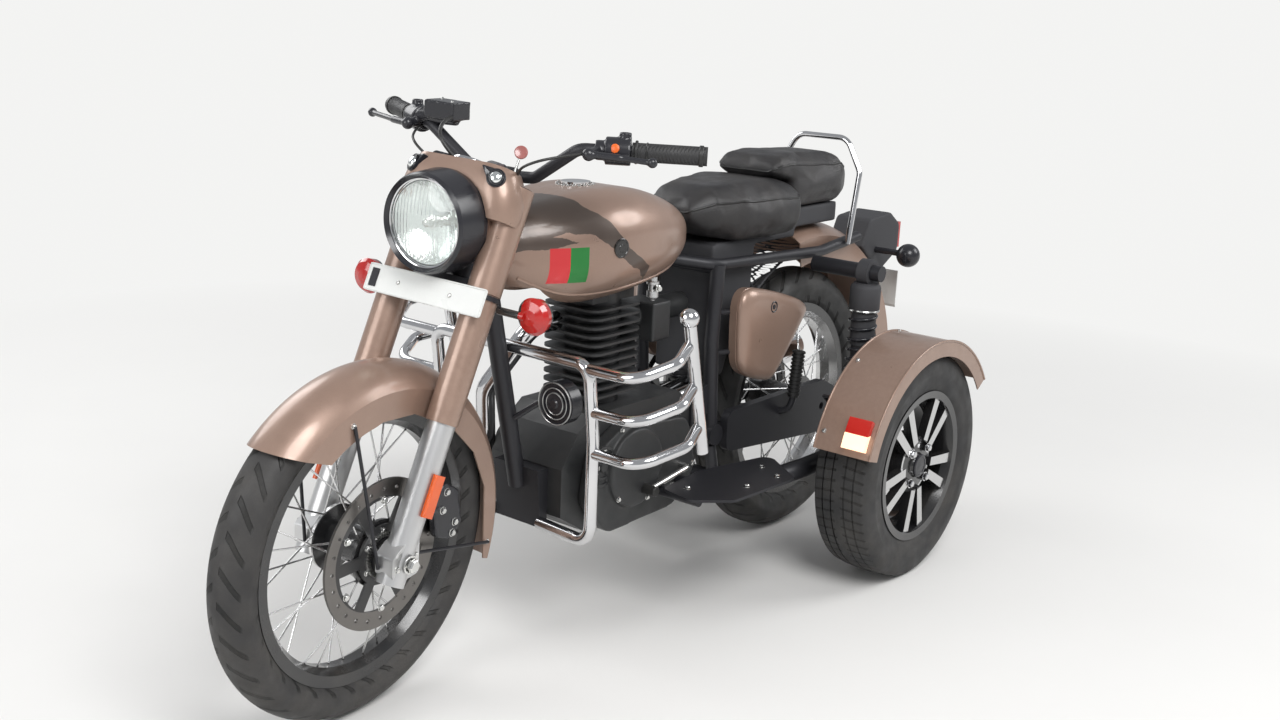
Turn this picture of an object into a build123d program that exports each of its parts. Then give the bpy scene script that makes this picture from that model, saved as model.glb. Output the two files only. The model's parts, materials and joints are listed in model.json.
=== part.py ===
from build123d import *
import math
import os

# Motorcycle with a pair of outrigger side wheels, in millimetres.
# It is drawn with X forward from the rear axle, Y to the machine's left and Z up from the ground, with the
# steering straight. At the end the steering is turned a little to the left, as the machine stands, and
# everything is moved so that the origin is on the ground under the middle of the overall length.

# Wheels and tyres
WHEELBASE = 1370.0
FRONT_TYRE_RADIUS = 322.0
FRONT_TYRE_WIDTH = 92.0
FRONT_BEAD_RADIUS = 241.3
REAR_TYRE_RADIUS = 328.0
REAR_TYRE_WIDTH = 112.0
REAR_BEAD_RADIUS = 228.6
SIDE_TYRE_RADIUS = 266.0
SIDE_TYRE_WIDTH = 142.0
SIDE_BEAD_RADIUS = 165.1
SIDE_WHEEL_X = 70.0
SIDE_HALF_TRACK = 377.0
TYRE_SEAT = 0.3
SPOKE_PAIRS = 18
SPOKE_RADIUS = 1.8
HUB_RADIUS = 34.0
HUB_FLANGE_RADIUS = 62.0
AXLE_RADIUS = 9.0
STUB_AXLE_RADIUS = 16.0
RUNNING_GAP = 0.3
LUG_CIRCLE_RADIUS = 50.0
LUG_COUNT = 4
SIDE_SPOKE_COUNT = 5

# Steering
RAKE = 24.5
TRAIL = 95.0
STEER_ANGLE = 7.0
LEG_SPACING = 98.0
LEG_RADIUS = 26.0
LEG_FOOT_HEIGHT = 262.0
SHROUD_RADIUS = 30.0
SHROUD_LOW_HEIGHT = 530.0
HEAD_LOW_HEIGHT = 772.0
HEAD_HIGH_HEIGHT = 906.0
HEAD_TUBE_RADIUS = 27.0
STEM_RADIUS = 15.0
YOKE_THICKNESS = 20.0
YOKE_GAP = 5.5

# Nacelle, headlamp and handlebar; heights on the steering axis, forward square to it
NACELLE_LOW_HEIGHT = 748.2
NACELLE_HIGH_HEIGHT = 948.0
NACELLE_SECTIONS = (
    # height, half width, forward, depth
    (NACELLE_HIGH_HEIGHT - 86, 129, 60, 80),
    (NACELLE_HIGH_HEIGHT - 36, 127, 66, 98),
    (NACELLE_HIGH_HEIGHT, 106, 70, 84),
)
LAMP_Z = NACELLE_HIGH_HEIGHT - 64
NACELLE_BOWL = (
    # x, radius
    (WHEELBASE - 290, 70),
    (WHEELBASE - 260, 84),
    (WHEELBASE - 214, 90),
)
LAMP_RADIUS = 94.0
LAMP_FRONT_X = WHEELBASE - 141
LENS_RADIUS = 81.0
LENS_DOME = 16.0
PILOT_X = WHEELBASE - 274
PILOT_Y = 60.0
PILOT_Z = NACELLE_HIGH_HEIGHT + 26
BAR_RADIUS = 11.0
BAR_BEND = 34.0
BAR_POINTS = [
    (WHEELBASE - 471, 367, HEAD_HIGH_HEIGHT + 124), (WHEELBASE - 362, 172, HEAD_HIGH_HEIGHT + 118),
    (WHEELBASE - 368, 74, HEAD_HIGH_HEIGHT + 50), (WHEELBASE - 366, 0, HEAD_HIGH_HEIGHT + 44),
]
GRIP_RADIUS = 17.0
GRIP_LENGTH = 128.0
MIRROR_DISTANCE = 142.0
MIRROR_BOSS_HEIGHT = 34.0
RESERVOIR = Vector(WHEELBASE - 370, -142, HEAD_HIGH_HEIGHT + 148)
MIRROR_THREAD_DEPTH = 16.0
MIRROR_THREAD_RADIUS = 5.0
PLATE_WIDTH = 272.0
PLATE_HEIGHT = 52.0
PLATE_HEIGHT_ON_AXIS = 728.0
INDICATOR_X = WHEELBASE - 228
INDICATOR_Y = 195.0
INDICATOR_Z = 742.0
FRONT_GUARD_RADIUS = 344.0
FRONT_GUARD_CENTRE = Vector(WHEELBASE - 12, 0, FRONT_TYRE_RADIUS - 8)
FRONT_GUARD_WIDTH = 130.0
FRONT_GUARD_TRIM = (
    (WHEELBASE + 330, 150), (WHEELBASE + 238, 562), (WHEELBASE + 130, 524), (WHEELBASE + 70, 552),
    (WHEELBASE + 10, 570), (WHEELBASE - 70, 566), (WHEELBASE - 170, 520), (WHEELBASE - 242, 450),
    (WHEELBASE - 280, 370), (WHEELBASE - 290, 150),
)
GUARD_SHEET = 3.0
DISC_RADIUS = 140.0
DISC_Y = 58.0
DISC_THICKNESS = 5.0
CALIPER_OUTLINE = (
    (WHEELBASE - 192, 330), (WHEELBASE - 178, 400), (WHEELBASE - 140, 424), (WHEELBASE - 108, 386),
    (WHEELBASE - 120, 320), (WHEELBASE - 158, 306),
)

# Frame and engine
FRAME_TUBE_RADIUS = 16.0
RAIL_SPACING = 98.0
PIVOT_X = 432.0
PIVOT_Z = 345.0
ARM_SPACING = 86.0
ENGINE_HALF_WIDTH = 96.0
LEFT_COVER_DEPTH = 34.0
RIGHT_COVER_DEPTH = 30.0
CRANKCASE_FRONT = 926.0
CYLINDER_X = 735.0
CYLINDER_LOW_Z = 470.0
CRANKCASE_OUTLINE = (
    (500, 262), (570, 234), (850, 226), (CRANKCASE_FRONT, 275), (CRANKCASE_FRONT, 375), (880, 440),
    (840, CYLINDER_LOW_Z), (560, CYLINDER_LOW_Z), (480, 420),
)
CYLINDER_HIGH_Z = 728.0
FIN_COUNT = 11
FIN_PITCH = 18.0
FIN_THICKNESS = 5.0
FIN_LENGTH = 158.0
FIN_WIDTH = 150.0

# Bodywork
TANK_FRONT_GAP = 42.0
TANK_SECTIONS = (
    # x, width, low z, high z, corner radius
    (1040, 110, 768, 862, 40),
    (970, 204, 716, 896, 76),
    (880, 280, 700, 914, 92),
    (780, 300, 703, 920, 94),
    (660, 270, 716, 902, 82),
    (560, 196, 748, 864, 50),
    (506, 100, 780, 824, 18),
)
CAP_X = 800.0
CAP_Z = 908.0
CAP_RADIUS = 30.0
RIDER_SEAT_ROWS = (
    # x, width, low z, high z, corner radius
    (492, 110, 826, 850, 10),
    (440, 196, 790, 884, 40),
    (360, 256, 768.3, 890, 54),
    (260, 292, 768.3, 894, 56),
    (180, 286, 768.3, 888, 54),
    (146, 240, 826, 872, 20),
)
PILLION_SEAT_ROWS = (
    (214, 160, 896, 920, 10),
    (190, 184, 894, 938, 20),
    (138, 200, 892, 944, 24),
    (134, 200, 822, 944, 26),
    (-60, 196, 820.3, 936, 30),
    (-100, 172, 832, 914, 30),
)
PANEL_INNER_Y = 116.0
PANEL_OUTER_Y = 160.0
PANEL_OUTLINE = ((412, 682), (130, 610), (276, 448), (400, 486))
TAIL_LAMP_HALF = 52.0
REAR_GUARD_RADIUS = 428.0
REAR_GUARD_CENTRE = Vector(0, 0, 345)
REAR_GUARD_WIDTH = 160.0
INNER_GUARD_RADIUS = 404.0

# Guard and side wheel carrier
GUARD_TUBE_RADIUS = 12.7
GUARD_POST_Y = 205.0
GUARD_OUTER_Y = 330.0
GUARD_BARS = (
    # height at the inner post, x there, x at the outer post
    (612, 978, 846),
    (528, 968, 826),
    (445, 962, 803),
)
BOARD_Z = 300.0
BOARD_THICKNESS = 6.0
BOARD_OUTLINE = ((695, 171), (711, 255), (645, 320), (439, 332), (347, 206), (545, 157))
BEAM_RADIUS = 22.0
BEAM_X = 402.0
BEAM_Z = 288.0
CARRIER_Y = 262.0
STUB_AXLE_END = 414.0
CROSS_BAR_RADIUS = 18.5
CROSS_BAR_X = 62.0
CROSS_BAR_Z = 690.0
CROSS_BAR_END_Y = 292.0
SHOCK_Y = 254.0
SIDE_GUARD_RADIUS = 296.0
SIDE_GUARD_INNER_Y = 322.0
SIDE_GUARD_OUTER_Y = 460.0
SIDE_GUARD_LIP = 36.0
SIDE_GUARD_FRONT_ANGLE = 16.0
SIDE_GUARD_REAR_ANGLE = 146.0

FRONT_AXLE = Vector(WHEELBASE, 0, FRONT_TYRE_RADIUS)
REAR_AXLE = Vector(0, 0, REAR_TYRE_RADIUS)
SIDE_AXLE_Z = SIDE_TYRE_RADIUS
SIDES = (1, -1)

RAKE_SIN = math.sin(math.radians(RAKE))
RAKE_COS = math.cos(math.radians(RAKE))
STEER_FOOT_X = WHEELBASE + TRAIL
YOKE_OFFSET = FRONT_TYRE_RADIUS * RAKE_SIN - TRAIL * RAKE_COS
STEER_UP = Vector(-RAKE_SIN, 0, RAKE_COS)
STEERING = Axis((STEER_FOOT_X, 0, 0), STEER_UP)


def steer_point(z, forward=0.0, y=0.0):
    """A point at height z on the steering axis, moved square to the axis by forward, and sideways by y."""
    on_axis = Vector(STEER_FOOT_X - z * math.tan(math.radians(RAKE)), y, z)
    return on_axis + Vector(RAKE_COS, 0, RAKE_SIN) * forward


def yoke_plane(height):
    """A plane square to the steering axis at a height on it: local X forward, local Y to the left."""
    return Plane(origin=steer_point(height), x_dir=(RAKE_COS, 0, RAKE_SIN), z_dir=STEER_UP)


def cross_plane(x, z):
    """A plane square to the machine's length at x, centred at height z: local X to the left, local Y up."""
    return Plane(origin=(x, 0, z), x_dir=(0, 1, 0), z_dir=(1, 0, 0))


def bar_point(distance, side):
    """A point along the straight outer run of the handlebar, measured inwards from its end."""
    end, inner = Vector(*BAR_POINTS[0]), Vector(*BAR_POINTS[1])
    point = end + (inner - end).normalized() * distance
    return Vector(point.X, side * point.Y, point.Z)


def rod(start, end, radius):
    """A plain round bar between two points."""
    start, end = Vector(*start), Vector(*end)
    with BuildSketch(Plane(origin=start, z_dir=end - start)) as section:
        Circle(radius)
    return extrude(section.sketch, amount=(end - start).length, mode=Mode.PRIVATE)


def bent_tube(points, bend, radius):
    """A round tube along straight runs that tangent bends join; bend is a radius or a list of them."""
    with BuildLine() as route:
        FilletPolyline(*points, radius=bend)
    with BuildSketch(Plane(origin=route.line @ 0, z_dir=route.line % 0)) as section:
        Circle(radius)
    return sweep(section.sketch, path=route.line, mode=Mode.PRIVATE)


def mirrored(points, side):
    """The same points on the left (side 1) or the right (side -1)."""
    return [(x, side * y, z) for x, y, z in points]


def axle_plane(centre):
    """A plane through the axle: local X along the axle, local Y up from the wheel's centre."""
    return Plane(origin=centre, x_dir=(0, 1, 0), z_dir=(1, 0, 0))


def turned(centre, profile):
    """Revolves a closed outline of (across, radius) points about the axle through centre."""
    with BuildSketch(axle_plane(centre)) as section:
        with BuildLine():
            Polyline(*profile, close=True)
        make_face()
    return revolve(section.sketch, axis=Axis(centre, (0, 1, 0)), mode=Mode.PRIVATE)


def side_outline(points, y_start, thickness, rounding=0.0):
    """A plate with an outline of (x, z) points, from y_start along +Y or, with a negative thickness, -Y."""
    plane = Plane(origin=(0, y_start, 0), x_dir=(1, 0, 0), z_dir=(0, -1, 0))
    with BuildSketch(plane) as section:
        with BuildLine():
            Polyline(*points, close=True)
        make_face()
        if rounding:
            fillet(section.vertices(), rounding)
    return extrude(section.sketch, amount=-thickness, mode=Mode.PRIVATE)


def cycle_tyre(centre, radius, width, bead_radius):
    """A round-crowned motorcycle tyre, seated just outside its rim."""
    half = width / 2
    seat = bead_radius + TYRE_SEAT
    foot = half * 0.54
    shoulder = radius - half * 0.74
    with BuildSketch(axle_plane(centre)) as section:
        with BuildLine():
            Line((-foot, seat), (foot, seat))
            Line((foot, seat), (foot + 0.6, seat + 15))
            Line((foot + 0.6, seat + 15), (half, shoulder))
            ThreePointArc((half, shoulder), (0, radius), (-half, shoulder))
            Line((-half, shoulder), (-foot - 0.6, seat + 15))
            Line((-foot - 0.6, seat + 15), (-foot, seat))
        make_face()
    return revolve(section.sketch, axis=Axis(centre, (0, 1, 0)), mode=Mode.PRIVATE)


def spoked_wheel(centre, bead_radius, tyre_width, hub_half):
    """Rim with a drop centre, drilled-through hub and two dished layers of crossed wire spokes, in one."""
    foot = tyre_width * 0.27
    bore = AXLE_RADIUS + RUNNING_GAP
    flange = foot + TYRE_SEAT
    rim = [
        (-flange - 4, bead_radius + 14), (-flange - 1, bead_radius + 14), (-flange, bead_radius),
        (flange, bead_radius), (flange + 1, bead_radius + 14), (flange + 4, bead_radius + 14),
        (flange + 2, bead_radius - 7), (flange * 0.45, bead_radius - 18), (-flange * 0.45, bead_radius - 18),
        (-flange - 2, bead_radius - 7),
    ]
    hub = [
        (-hub_half, bore), (hub_half, bore), (hub_half, HUB_RADIUS),
        (hub_half - 4, HUB_FLANGE_RADIUS), (hub_half - 10, HUB_FLANGE_RADIUS), (hub_half - 14, HUB_RADIUS),
        (14 - hub_half, HUB_RADIUS), (10 - hub_half, HUB_FLANGE_RADIUS), (4 - hub_half, HUB_FLANGE_RADIUS),
        (-hub_half, HUB_RADIUS),
    ]
    spokes = []
    for index in range(SPOKE_PAIRS):
        side = 1 if index % 2 else -1
        middle = 360.0 * index / SPOKE_PAIRS
        for lean in (-1, 1):
            inner = math.radians(middle - lean * 22)
            outer = math.radians(middle + lean * 5)
            hub_end = (
                centre.X + (HUB_FLANGE_RADIUS - 5) * math.cos(inner), centre.Y + side * (hub_half - 7),
                centre.Z + (HUB_FLANGE_RADIUS - 5) * math.sin(inner),
            )
            rim_end = (
                centre.X + (bead_radius - 14) * math.cos(outer), centre.Y + side * 4,
                centre.Z + (bead_radius - 14) * math.sin(outer),
            )
            spokes.append(rod(hub_end, rim_end, SPOKE_RADIUS))
    add([turned(centre, rim), turned(centre, hub), *spokes])


def brake_disc(centre, y_face, side, radius):
    """A drilled disc on its carrier; y_face is the disc's inner face and side says which way is out."""
    plane = Plane(origin=(centre.X, y_face, centre.Z), x_dir=(1, 0, 0), z_dir=(0, side, 0))
    with BuildSketch(plane) as ring:
        Circle(radius)
        Circle(radius - 34, mode=Mode.SUBTRACT)
        with PolarLocations(radius - 17, 24):
            Circle(4, mode=Mode.SUBTRACT)
    with BuildSketch(plane) as carrier:
        Circle(HUB_FLANGE_RADIUS - 6)
        with PolarLocations(radius - 58, 6):
            Rectangle(60, 22)
        Circle(HUB_RADIUS - 10, mode=Mode.SUBTRACT)
    plates = [extrude(part.sketch, amount=DISC_THICKNESS, mode=Mode.PRIVATE) for part in (ring, carrier)]
    return plates


# Front wheel
with BuildPart() as front_tyre:
    add(cycle_tyre(FRONT_AXLE, FRONT_TYRE_RADIUS, FRONT_TYRE_WIDTH, FRONT_BEAD_RADIUS))

with BuildPart() as front_wheel:
    spoked_wheel(FRONT_AXLE, FRONT_BEAD_RADIUS, FRONT_TYRE_WIDTH, DISC_Y - 0.3)

with BuildPart() as front_disc:
    add(brake_disc(FRONT_AXLE, DISC_Y, 1, DISC_RADIUS))

# Rear wheel
REAR_HUB_HALF = 62.0
with BuildPart() as rear_tyre:
    add(cycle_tyre(REAR_AXLE, REAR_TYRE_RADIUS, REAR_TYRE_WIDTH, REAR_BEAD_RADIUS))

with BuildPart() as rear_wheel:
    spoked_wheel(REAR_AXLE, REAR_BEAD_RADIUS, REAR_TYRE_WIDTH, REAR_HUB_HALF)

with BuildPart() as rear_disc:
    add(brake_disc(REAR_AXLE, -REAR_HUB_HALF - 0.3, -1, 120.0))


def side_tyre(side):
    """A car tyre with a flat tread and rounded shoulders."""
    centre = Vector(SIDE_WHEEL_X, side * SIDE_HALF_TRACK, SIDE_AXLE_Z)
    half, seat = SIDE_TYRE_WIDTH / 2, SIDE_BEAD_RADIUS + TYRE_SEAT
    with BuildSketch(axle_plane(centre)) as section:
        with BuildLine():
            Line((-half + 13, seat), (half - 13, seat))
            Line((half - 13, seat), (half - 12, seat + 14))
            ThreePointArc((half - 12, seat + 14), (half, seat + 52), (half - 12, SIDE_TYRE_RADIUS - 5))
            shoulder = SIDE_TYRE_RADIUS - 5
            ThreePointArc((half - 12, shoulder), (0, SIDE_TYRE_RADIUS), (12 - half, shoulder))
            ThreePointArc((12 - half, SIDE_TYRE_RADIUS - 5), (-half, seat + 52), (12 - half, seat + 14))
            Line((12 - half, seat + 14), (13 - half, seat))
        make_face()
    return revolve(section.sketch, axis=Axis(centre, (0, 1, 0)), mode=Mode.PRIVATE)


def cast_wheel(side):
    """A cast wheel: drop-centre barrel, capped hub, lug nuts and five split spokes near the outer face."""
    centre = Vector(SIDE_WHEEL_X, side * SIDE_HALF_TRACK, SIDE_AXLE_Z)
    flange = SIDE_TYRE_WIDTH / 2 - 13 + TYRE_SEAT
    seat = SIDE_BEAD_RADIUS
    barrel = [
        (-flange - 5, seat + 11), (-flange - 1, seat + 12), (-flange, seat), (flange, seat),
        (flange + 1, seat + 12), (flange + 5, seat + 11), (flange + 3, seat - 6), (flange - 18, seat - 14),
        (0, seat - 22),
        (-flange + 12, seat - 14), (-flange - 3, seat - 5),
    ]
    outer = side * (flange - 2)
    hub = [
        (side * 4, STUB_AXLE_RADIUS + RUNNING_GAP), (outer - side * 14, STUB_AXLE_RADIUS + RUNNING_GAP),
        (outer - side * 14, 0), (outer + side * 2, 0), (outer + side * 2, 26), (outer - side * 6, 30),
        (outer - side * 10, 66), (side * 8, 72), (side * 4, 72),
    ]
    face = Plane(origin=(centre.X, centre.Y + outer, centre.Z), x_dir=(side, 0, 0), z_dir=(0, side, 0))
    with BuildSketch(face) as spokes:
        for index in range(SIDE_SPOKE_COUNT):
            middle = 90 + 360 * index / SIDE_SPOKE_COUNT
            for lean in (-1, 1):
                with BuildLine(Plane.XY.rotated((0, 0, middle))):
                    Polyline((56, lean * 4), (158, lean * 22), (158, lean * 46), (56, lean * 24), close=True)
                make_face()
    with BuildSketch(face) as lugs:
        with PolarLocations(LUG_CIRCLE_RADIUS, LUG_COUNT, start_angle=45):
            RegularPolygon(10, 6)
    return [
        turned(centre, barrel), turned(centre, hub), extrude(spokes.sketch, amount=-20, mode=Mode.PRIVATE),
        extrude(lugs.sketch, amount=-14, mode=Mode.PRIVATE),
    ]


with BuildPart() as side_tyre_left:
    add(side_tyre(1))
with BuildPart() as side_tyre_right:
    add(side_tyre(-1))
with BuildPart() as side_wheel_left:
    add(cast_wheel(1))
with BuildPart() as side_wheel_right:
    add(cast_wheel(-1))

# Fork: the legs run straight down to the axle
with BuildPart() as front_axle:
    axle_end = LEG_SPACING + LEG_RADIUS + 5
    add(rod(FRONT_AXLE - (0, axle_end, 0), FRONT_AXLE + (0, axle_end, 0), AXLE_RADIUS))

with BuildPart() as fork_legs:
    for side in SIDES:
        foot = steer_point(LEG_FOOT_HEIGHT, YOKE_OFFSET, side * LEG_SPACING)
        top = steer_point(SHROUD_LOW_HEIGHT + 60, YOKE_OFFSET, side * LEG_SPACING)
        add(rod(foot, top, LEG_RADIUS))
        add(side_outline(
            [(WHEELBASE - 34, 294), (WHEELBASE + 14, 288), (WHEELBASE + 34, 304), (WHEELBASE + 34, 338),
             (WHEELBASE + 10, 356), (WHEELBASE - 34, 366)],
            side * (LEG_SPACING - 20), side * 40, 8,
        ))
    add(rod((WHEELBASE, -200, FRONT_TYRE_RADIUS), (WHEELBASE, 200, FRONT_TYRE_RADIUS), AXLE_RADIUS + 0.05),
        mode=Mode.SUBTRACT)

with BuildPart() as fork_shrouds:
    for side in SIDES:
        low = steer_point(SHROUD_LOW_HEIGHT, YOKE_OFFSET, side * LEG_SPACING)
        high = steer_point(NACELLE_LOW_HEIGHT - 0.3, YOKE_OFFSET, side * LEG_SPACING)
        add(rod(low, high, SHROUD_RADIUS))
        add(rod(low, high, LEG_RADIUS + 0.3), mode=Mode.SUBTRACT)

YOKES = (
    # height of the face next to the head tube, direction away from it, boss radius
    (HEAD_LOW_HEIGHT - YOKE_GAP, -1, 24),
    (HEAD_HIGH_HEIGHT + YOKE_GAP, 1, 34),
)


def yoke_plate(height, thickness, boss, margin):
    """A fork yoke as a plate square to the steering axis; thickness may be negative, to go down."""
    with BuildSketch(yoke_plane(height)) as plate:
        with Locations((YOKE_OFFSET, LEG_SPACING), (YOKE_OFFSET, -LEG_SPACING)):
            Circle(LEG_RADIUS + 2 + margin)
        with Locations((YOKE_OFFSET - 18, 0)):
            Rectangle(44 + 2 * margin, 2 * LEG_SPACING)
        with Locations((YOKE_OFFSET / 4, 0)):
            SlotCenterToCenter(YOKE_OFFSET / 2, 2 * (boss + margin))
    return extrude(plate.sketch, amount=thickness, mode=Mode.PRIVATE)


with BuildPart() as yokes:
    for height, direction, boss in YOKES:
        add(yoke_plate(height, direction * YOKE_THICKNESS, boss, 0))
    add(rod(steer_point(HEAD_LOW_HEIGHT - 12), steer_point(HEAD_HIGH_HEIGHT + 12), STEM_RADIUS))


def pilot_pod(side, margin):
    """A pilot lamp's body and its peg into the nacelle, grown by margin."""
    foot = Vector(PILOT_X, side * PILOT_Y, PILOT_Z)
    body = rod(foot - Vector(margin, 0, 0), foot + Vector(24, side * 4, 6) * (1 + margin / 10), 16 + margin)
    peg = rod(foot - Vector(16 + margin, 0, 0), foot + Vector(1, 0, 0), 12 + margin)
    return [body, peg]


# Nacelle: a bowl behind the headlamp that runs back into two shoulders over the fork tubes
with BuildPart() as nacelle:
    for side in SIDES:
        low = steer_point(NACELLE_LOW_HEIGHT, YOKE_OFFSET, side * LEG_SPACING)
        high = steer_point(NACELLE_HIGH_HEIGHT - 20, YOKE_OFFSET, side * LEG_SPACING)
        add(rod(low, high, SHROUD_RADIUS + 2))
    for height, half_width, forward, depth in NACELLE_SECTIONS:
        with BuildSketch(yoke_plane(height)):
            with Locations((forward, 0)):
                SlotOverall(2 * half_width, depth, rotation=90)
    loft()
    for x, radius in NACELLE_BOWL:
        with BuildSketch(cross_plane(x, LAMP_Z)):
            Circle(radius)
    loft(ruled=True)
    add(rod(steer_point(HEAD_LOW_HEIGHT - 80), steer_point(HEAD_HIGH_HEIGHT + 180), HEAD_TUBE_RADIUS + 8),
        mode=Mode.SUBTRACT)
    for height, direction, boss in YOKES:
        slot_depth = direction * (YOKE_THICKNESS + 0.6)
        add(yoke_plate(height - direction * 0.3, slot_depth, boss, 0.3), mode=Mode.SUBTRACT)
    for side in SIDES:
        add(pilot_pod(side, 0.3), mode=Mode.SUBTRACT)
    lamp_seat = Vector(NACELLE_BOWL[-1][0], 0, LAMP_Z)
    add(rod(lamp_seat, lamp_seat + Vector(90, 0, 0), LAMP_RADIUS + 0.3), mode=Mode.SUBTRACT)

with BuildPart() as headlamp_rim:
    back = NACELLE_BOWL[-1][0] + 0.3
    with BuildSketch(Plane.XZ) as section:
        with BuildLine():
            Polyline(
                (back, LAMP_Z), (back, LAMP_Z + LAMP_RADIUS - 2), (back + 12, LAMP_Z + LAMP_RADIUS),
                (LAMP_FRONT_X - 8, LAMP_Z + LAMP_RADIUS - 4), (LAMP_FRONT_X, LAMP_Z + LAMP_RADIUS - 8),
                (LAMP_FRONT_X - 8, LAMP_Z + LENS_RADIUS), (LAMP_FRONT_X - 38, LAMP_Z + LENS_RADIUS),
                (LAMP_FRONT_X - 38, LAMP_Z), close=True,
            )
        make_face()
    revolve(axis=Axis((0, 0, LAMP_Z), (1, 0, 0)))
    for side in SIDES:
        add(pilot_pod(side, 0))

with BuildPart() as headlamp_lens:
    lens_back, lens_rim = LAMP_FRONT_X - 37.7, LENS_RADIUS - 0.5
    ball = (lens_rim ** 2 + LENS_DOME ** 2) / (2 * LENS_DOME)
    half_turn = math.asin(lens_rim / ball) / 2
    lens_top = LAMP_FRONT_X - 6
    with BuildSketch(Plane.XZ) as section:
        with BuildLine():
            Polyline((lens_top, LAMP_Z), (lens_back, LAMP_Z), (lens_back, LAMP_Z + lens_rim),
                     (lens_top - LENS_DOME, LAMP_Z + lens_rim))
            ThreePointArc(
                (lens_top - LENS_DOME, LAMP_Z + lens_rim),
                (lens_top - ball * (1 - math.cos(half_turn)), LAMP_Z + ball * math.sin(half_turn)),
                (lens_top, LAMP_Z),
            )
        make_face()
    revolve(axis=Axis((0, 0, LAMP_Z), (1, 0, 0)))



def bar_tube(radius):
    """The handlebar's own line as a tube of any radius."""
    return bent_tube(BAR_POINTS + mirrored(BAR_POINTS[-2::-1], -1), BAR_BEND, radius)


with BuildPart() as handlebar:
    add(bar_tube(BAR_RADIUS))
    clamp_x, _, clamp_z = BAR_POINTS[-1]
    for side in SIDES:
        add(rod((clamp_x, side * 11, clamp_z), (clamp_x, side * 29, clamp_z), 19))
        clamp = Vector(clamp_x, side * 20, clamp_z)
        yoke_face = yoke_plane(HEAD_HIGH_HEIGHT + YOKE_GAP).origin + STEER_UP * (YOKE_THICKNESS + 0.3)
        add(rod(clamp, clamp - STEER_UP * (clamp - yoke_face).dot(STEER_UP), 9))

with BuildPart() as grips:
    for side in SIDES:
        add(rod(bar_point(-6, side), bar_point(GRIP_LENGTH, side), GRIP_RADIUS))
        add(rod(bar_point(-1, side), bar_point(GRIP_LENGTH + 1, side), BAR_RADIUS + 0.3), mode=Mode.SUBTRACT)

# Switch pods, lever perches with mirror threads, levers and the brake reservoir
with BuildPart() as controls:
    for side in SIDES:
        pod_end, perch_end = GRIP_LENGTH + 48, GRIP_LENGTH + 66
        add(rod(bar_point(GRIP_LENGTH + 2, side), bar_point(pod_end, side), 25))
        add(rod(bar_point(pod_end, side), bar_point(perch_end, side), 18))
        mirror_foot = bar_point(MIRROR_DISTANCE, side)
        add(rod(mirror_foot, mirror_foot + Vector(0, 0, MIRROR_BOSS_HEIGHT), 11))
        pivot = bar_point(pod_end + 8, side) + Vector(44, side * 4, -4)
        knee = bar_point(GRIP_LENGTH - 10, side) + Vector(58, 0, -6)
        tip = bar_point(56 if side > 0 else 8, side) + Vector(66, 0, -10)
        add(rod(bar_point(pod_end + 8, side), pivot, 10))
        add(rod(pivot, knee, 7))
        add(rod(knee, tip, 5.5))
        for joint, ball_radius in ((pivot, 12), (knee, 7), (tip, 9.5)):
            with Locations(joint):
                Sphere(ball_radius)
    add(rod(bar_point(GRIP_LENGTH + 56, -1) + Vector(16, 0, 10), RESERVOIR - Vector(-6, -30, 14), 13))
    with Locations(RESERVOIR):
        Box(52, 72, 34)
    add(bar_tube(BAR_RADIUS + 0.3), mode=Mode.SUBTRACT)
    for side in SIDES:
        mirror_foot = bar_point(MIRROR_DISTANCE, side)
        thread_low = mirror_foot + Vector(0, 0, MIRROR_BOSS_HEIGHT - MIRROR_THREAD_DEPTH)
        add(rod(thread_low, thread_low + Vector(0, 0, 80), MIRROR_THREAD_RADIUS), mode=Mode.SUBTRACT)

PLATE_FORWARD = YOKE_OFFSET + SHROUD_RADIUS + 9.0
with BuildPart() as front_plate:
    with BuildSketch(Plane(origin=steer_point(PLATE_HEIGHT_ON_AXIS, PLATE_FORWARD), x_dir=(0, 1, 0),
                           z_dir=(RAKE_COS, 0, RAKE_SIN))):
        RectangleRounded(PLATE_WIDTH, PLATE_HEIGHT, 5)
    extrude(amount=2)

# Black steel that holds the front plate and the mudguard
with BuildPart() as front_brackets:
    bar_forward = PLATE_FORWARD - 4.4
    bar_ends = [steer_point(PLATE_HEIGHT_ON_AXIS, bar_forward, side * (LEG_SPACING + 20)) for side in SIDES]
    add(rod(bar_ends[0], bar_ends[1], 4))
    for side in SIDES:
        y, edge = side * 88, side * (FRONT_GUARD_WIDTH / 2 + 3.4)
        add(rod((WHEELBASE + 37.5, y, 314), (WHEELBASE + 82, edge, 580), 3.2))
        add(rod((WHEELBASE - 35.2, y, 318), (WHEELBASE - 296, edge, 252), 3.2))

with BuildPart() as front_indicators:
    for side in SIDES:
        with BuildSketch(Plane.XY) as bowl:
            with BuildLine():
                Polyline((-34, 0), (-34, 10), (-14, 30), (4, 34), (12, 28), (17, 14), (19, 0), close=True)
            make_face()
        lamp = revolve(bowl.sketch, axis=Axis.X, mode=Mode.PRIVATE)
        add(lamp.moved(Location((INDICATOR_X, side * INDICATOR_Y, INDICATOR_Z))))
        stem_x, stem_y = INDICATOR_X + 16, LEG_SPACING + SHROUD_RADIUS - 2.0
        add(rod((stem_x, side * stem_y, INDICATOR_Z), (stem_x, side * (INDICATOR_Y - 10), INDICATOR_Z), 7))

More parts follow.
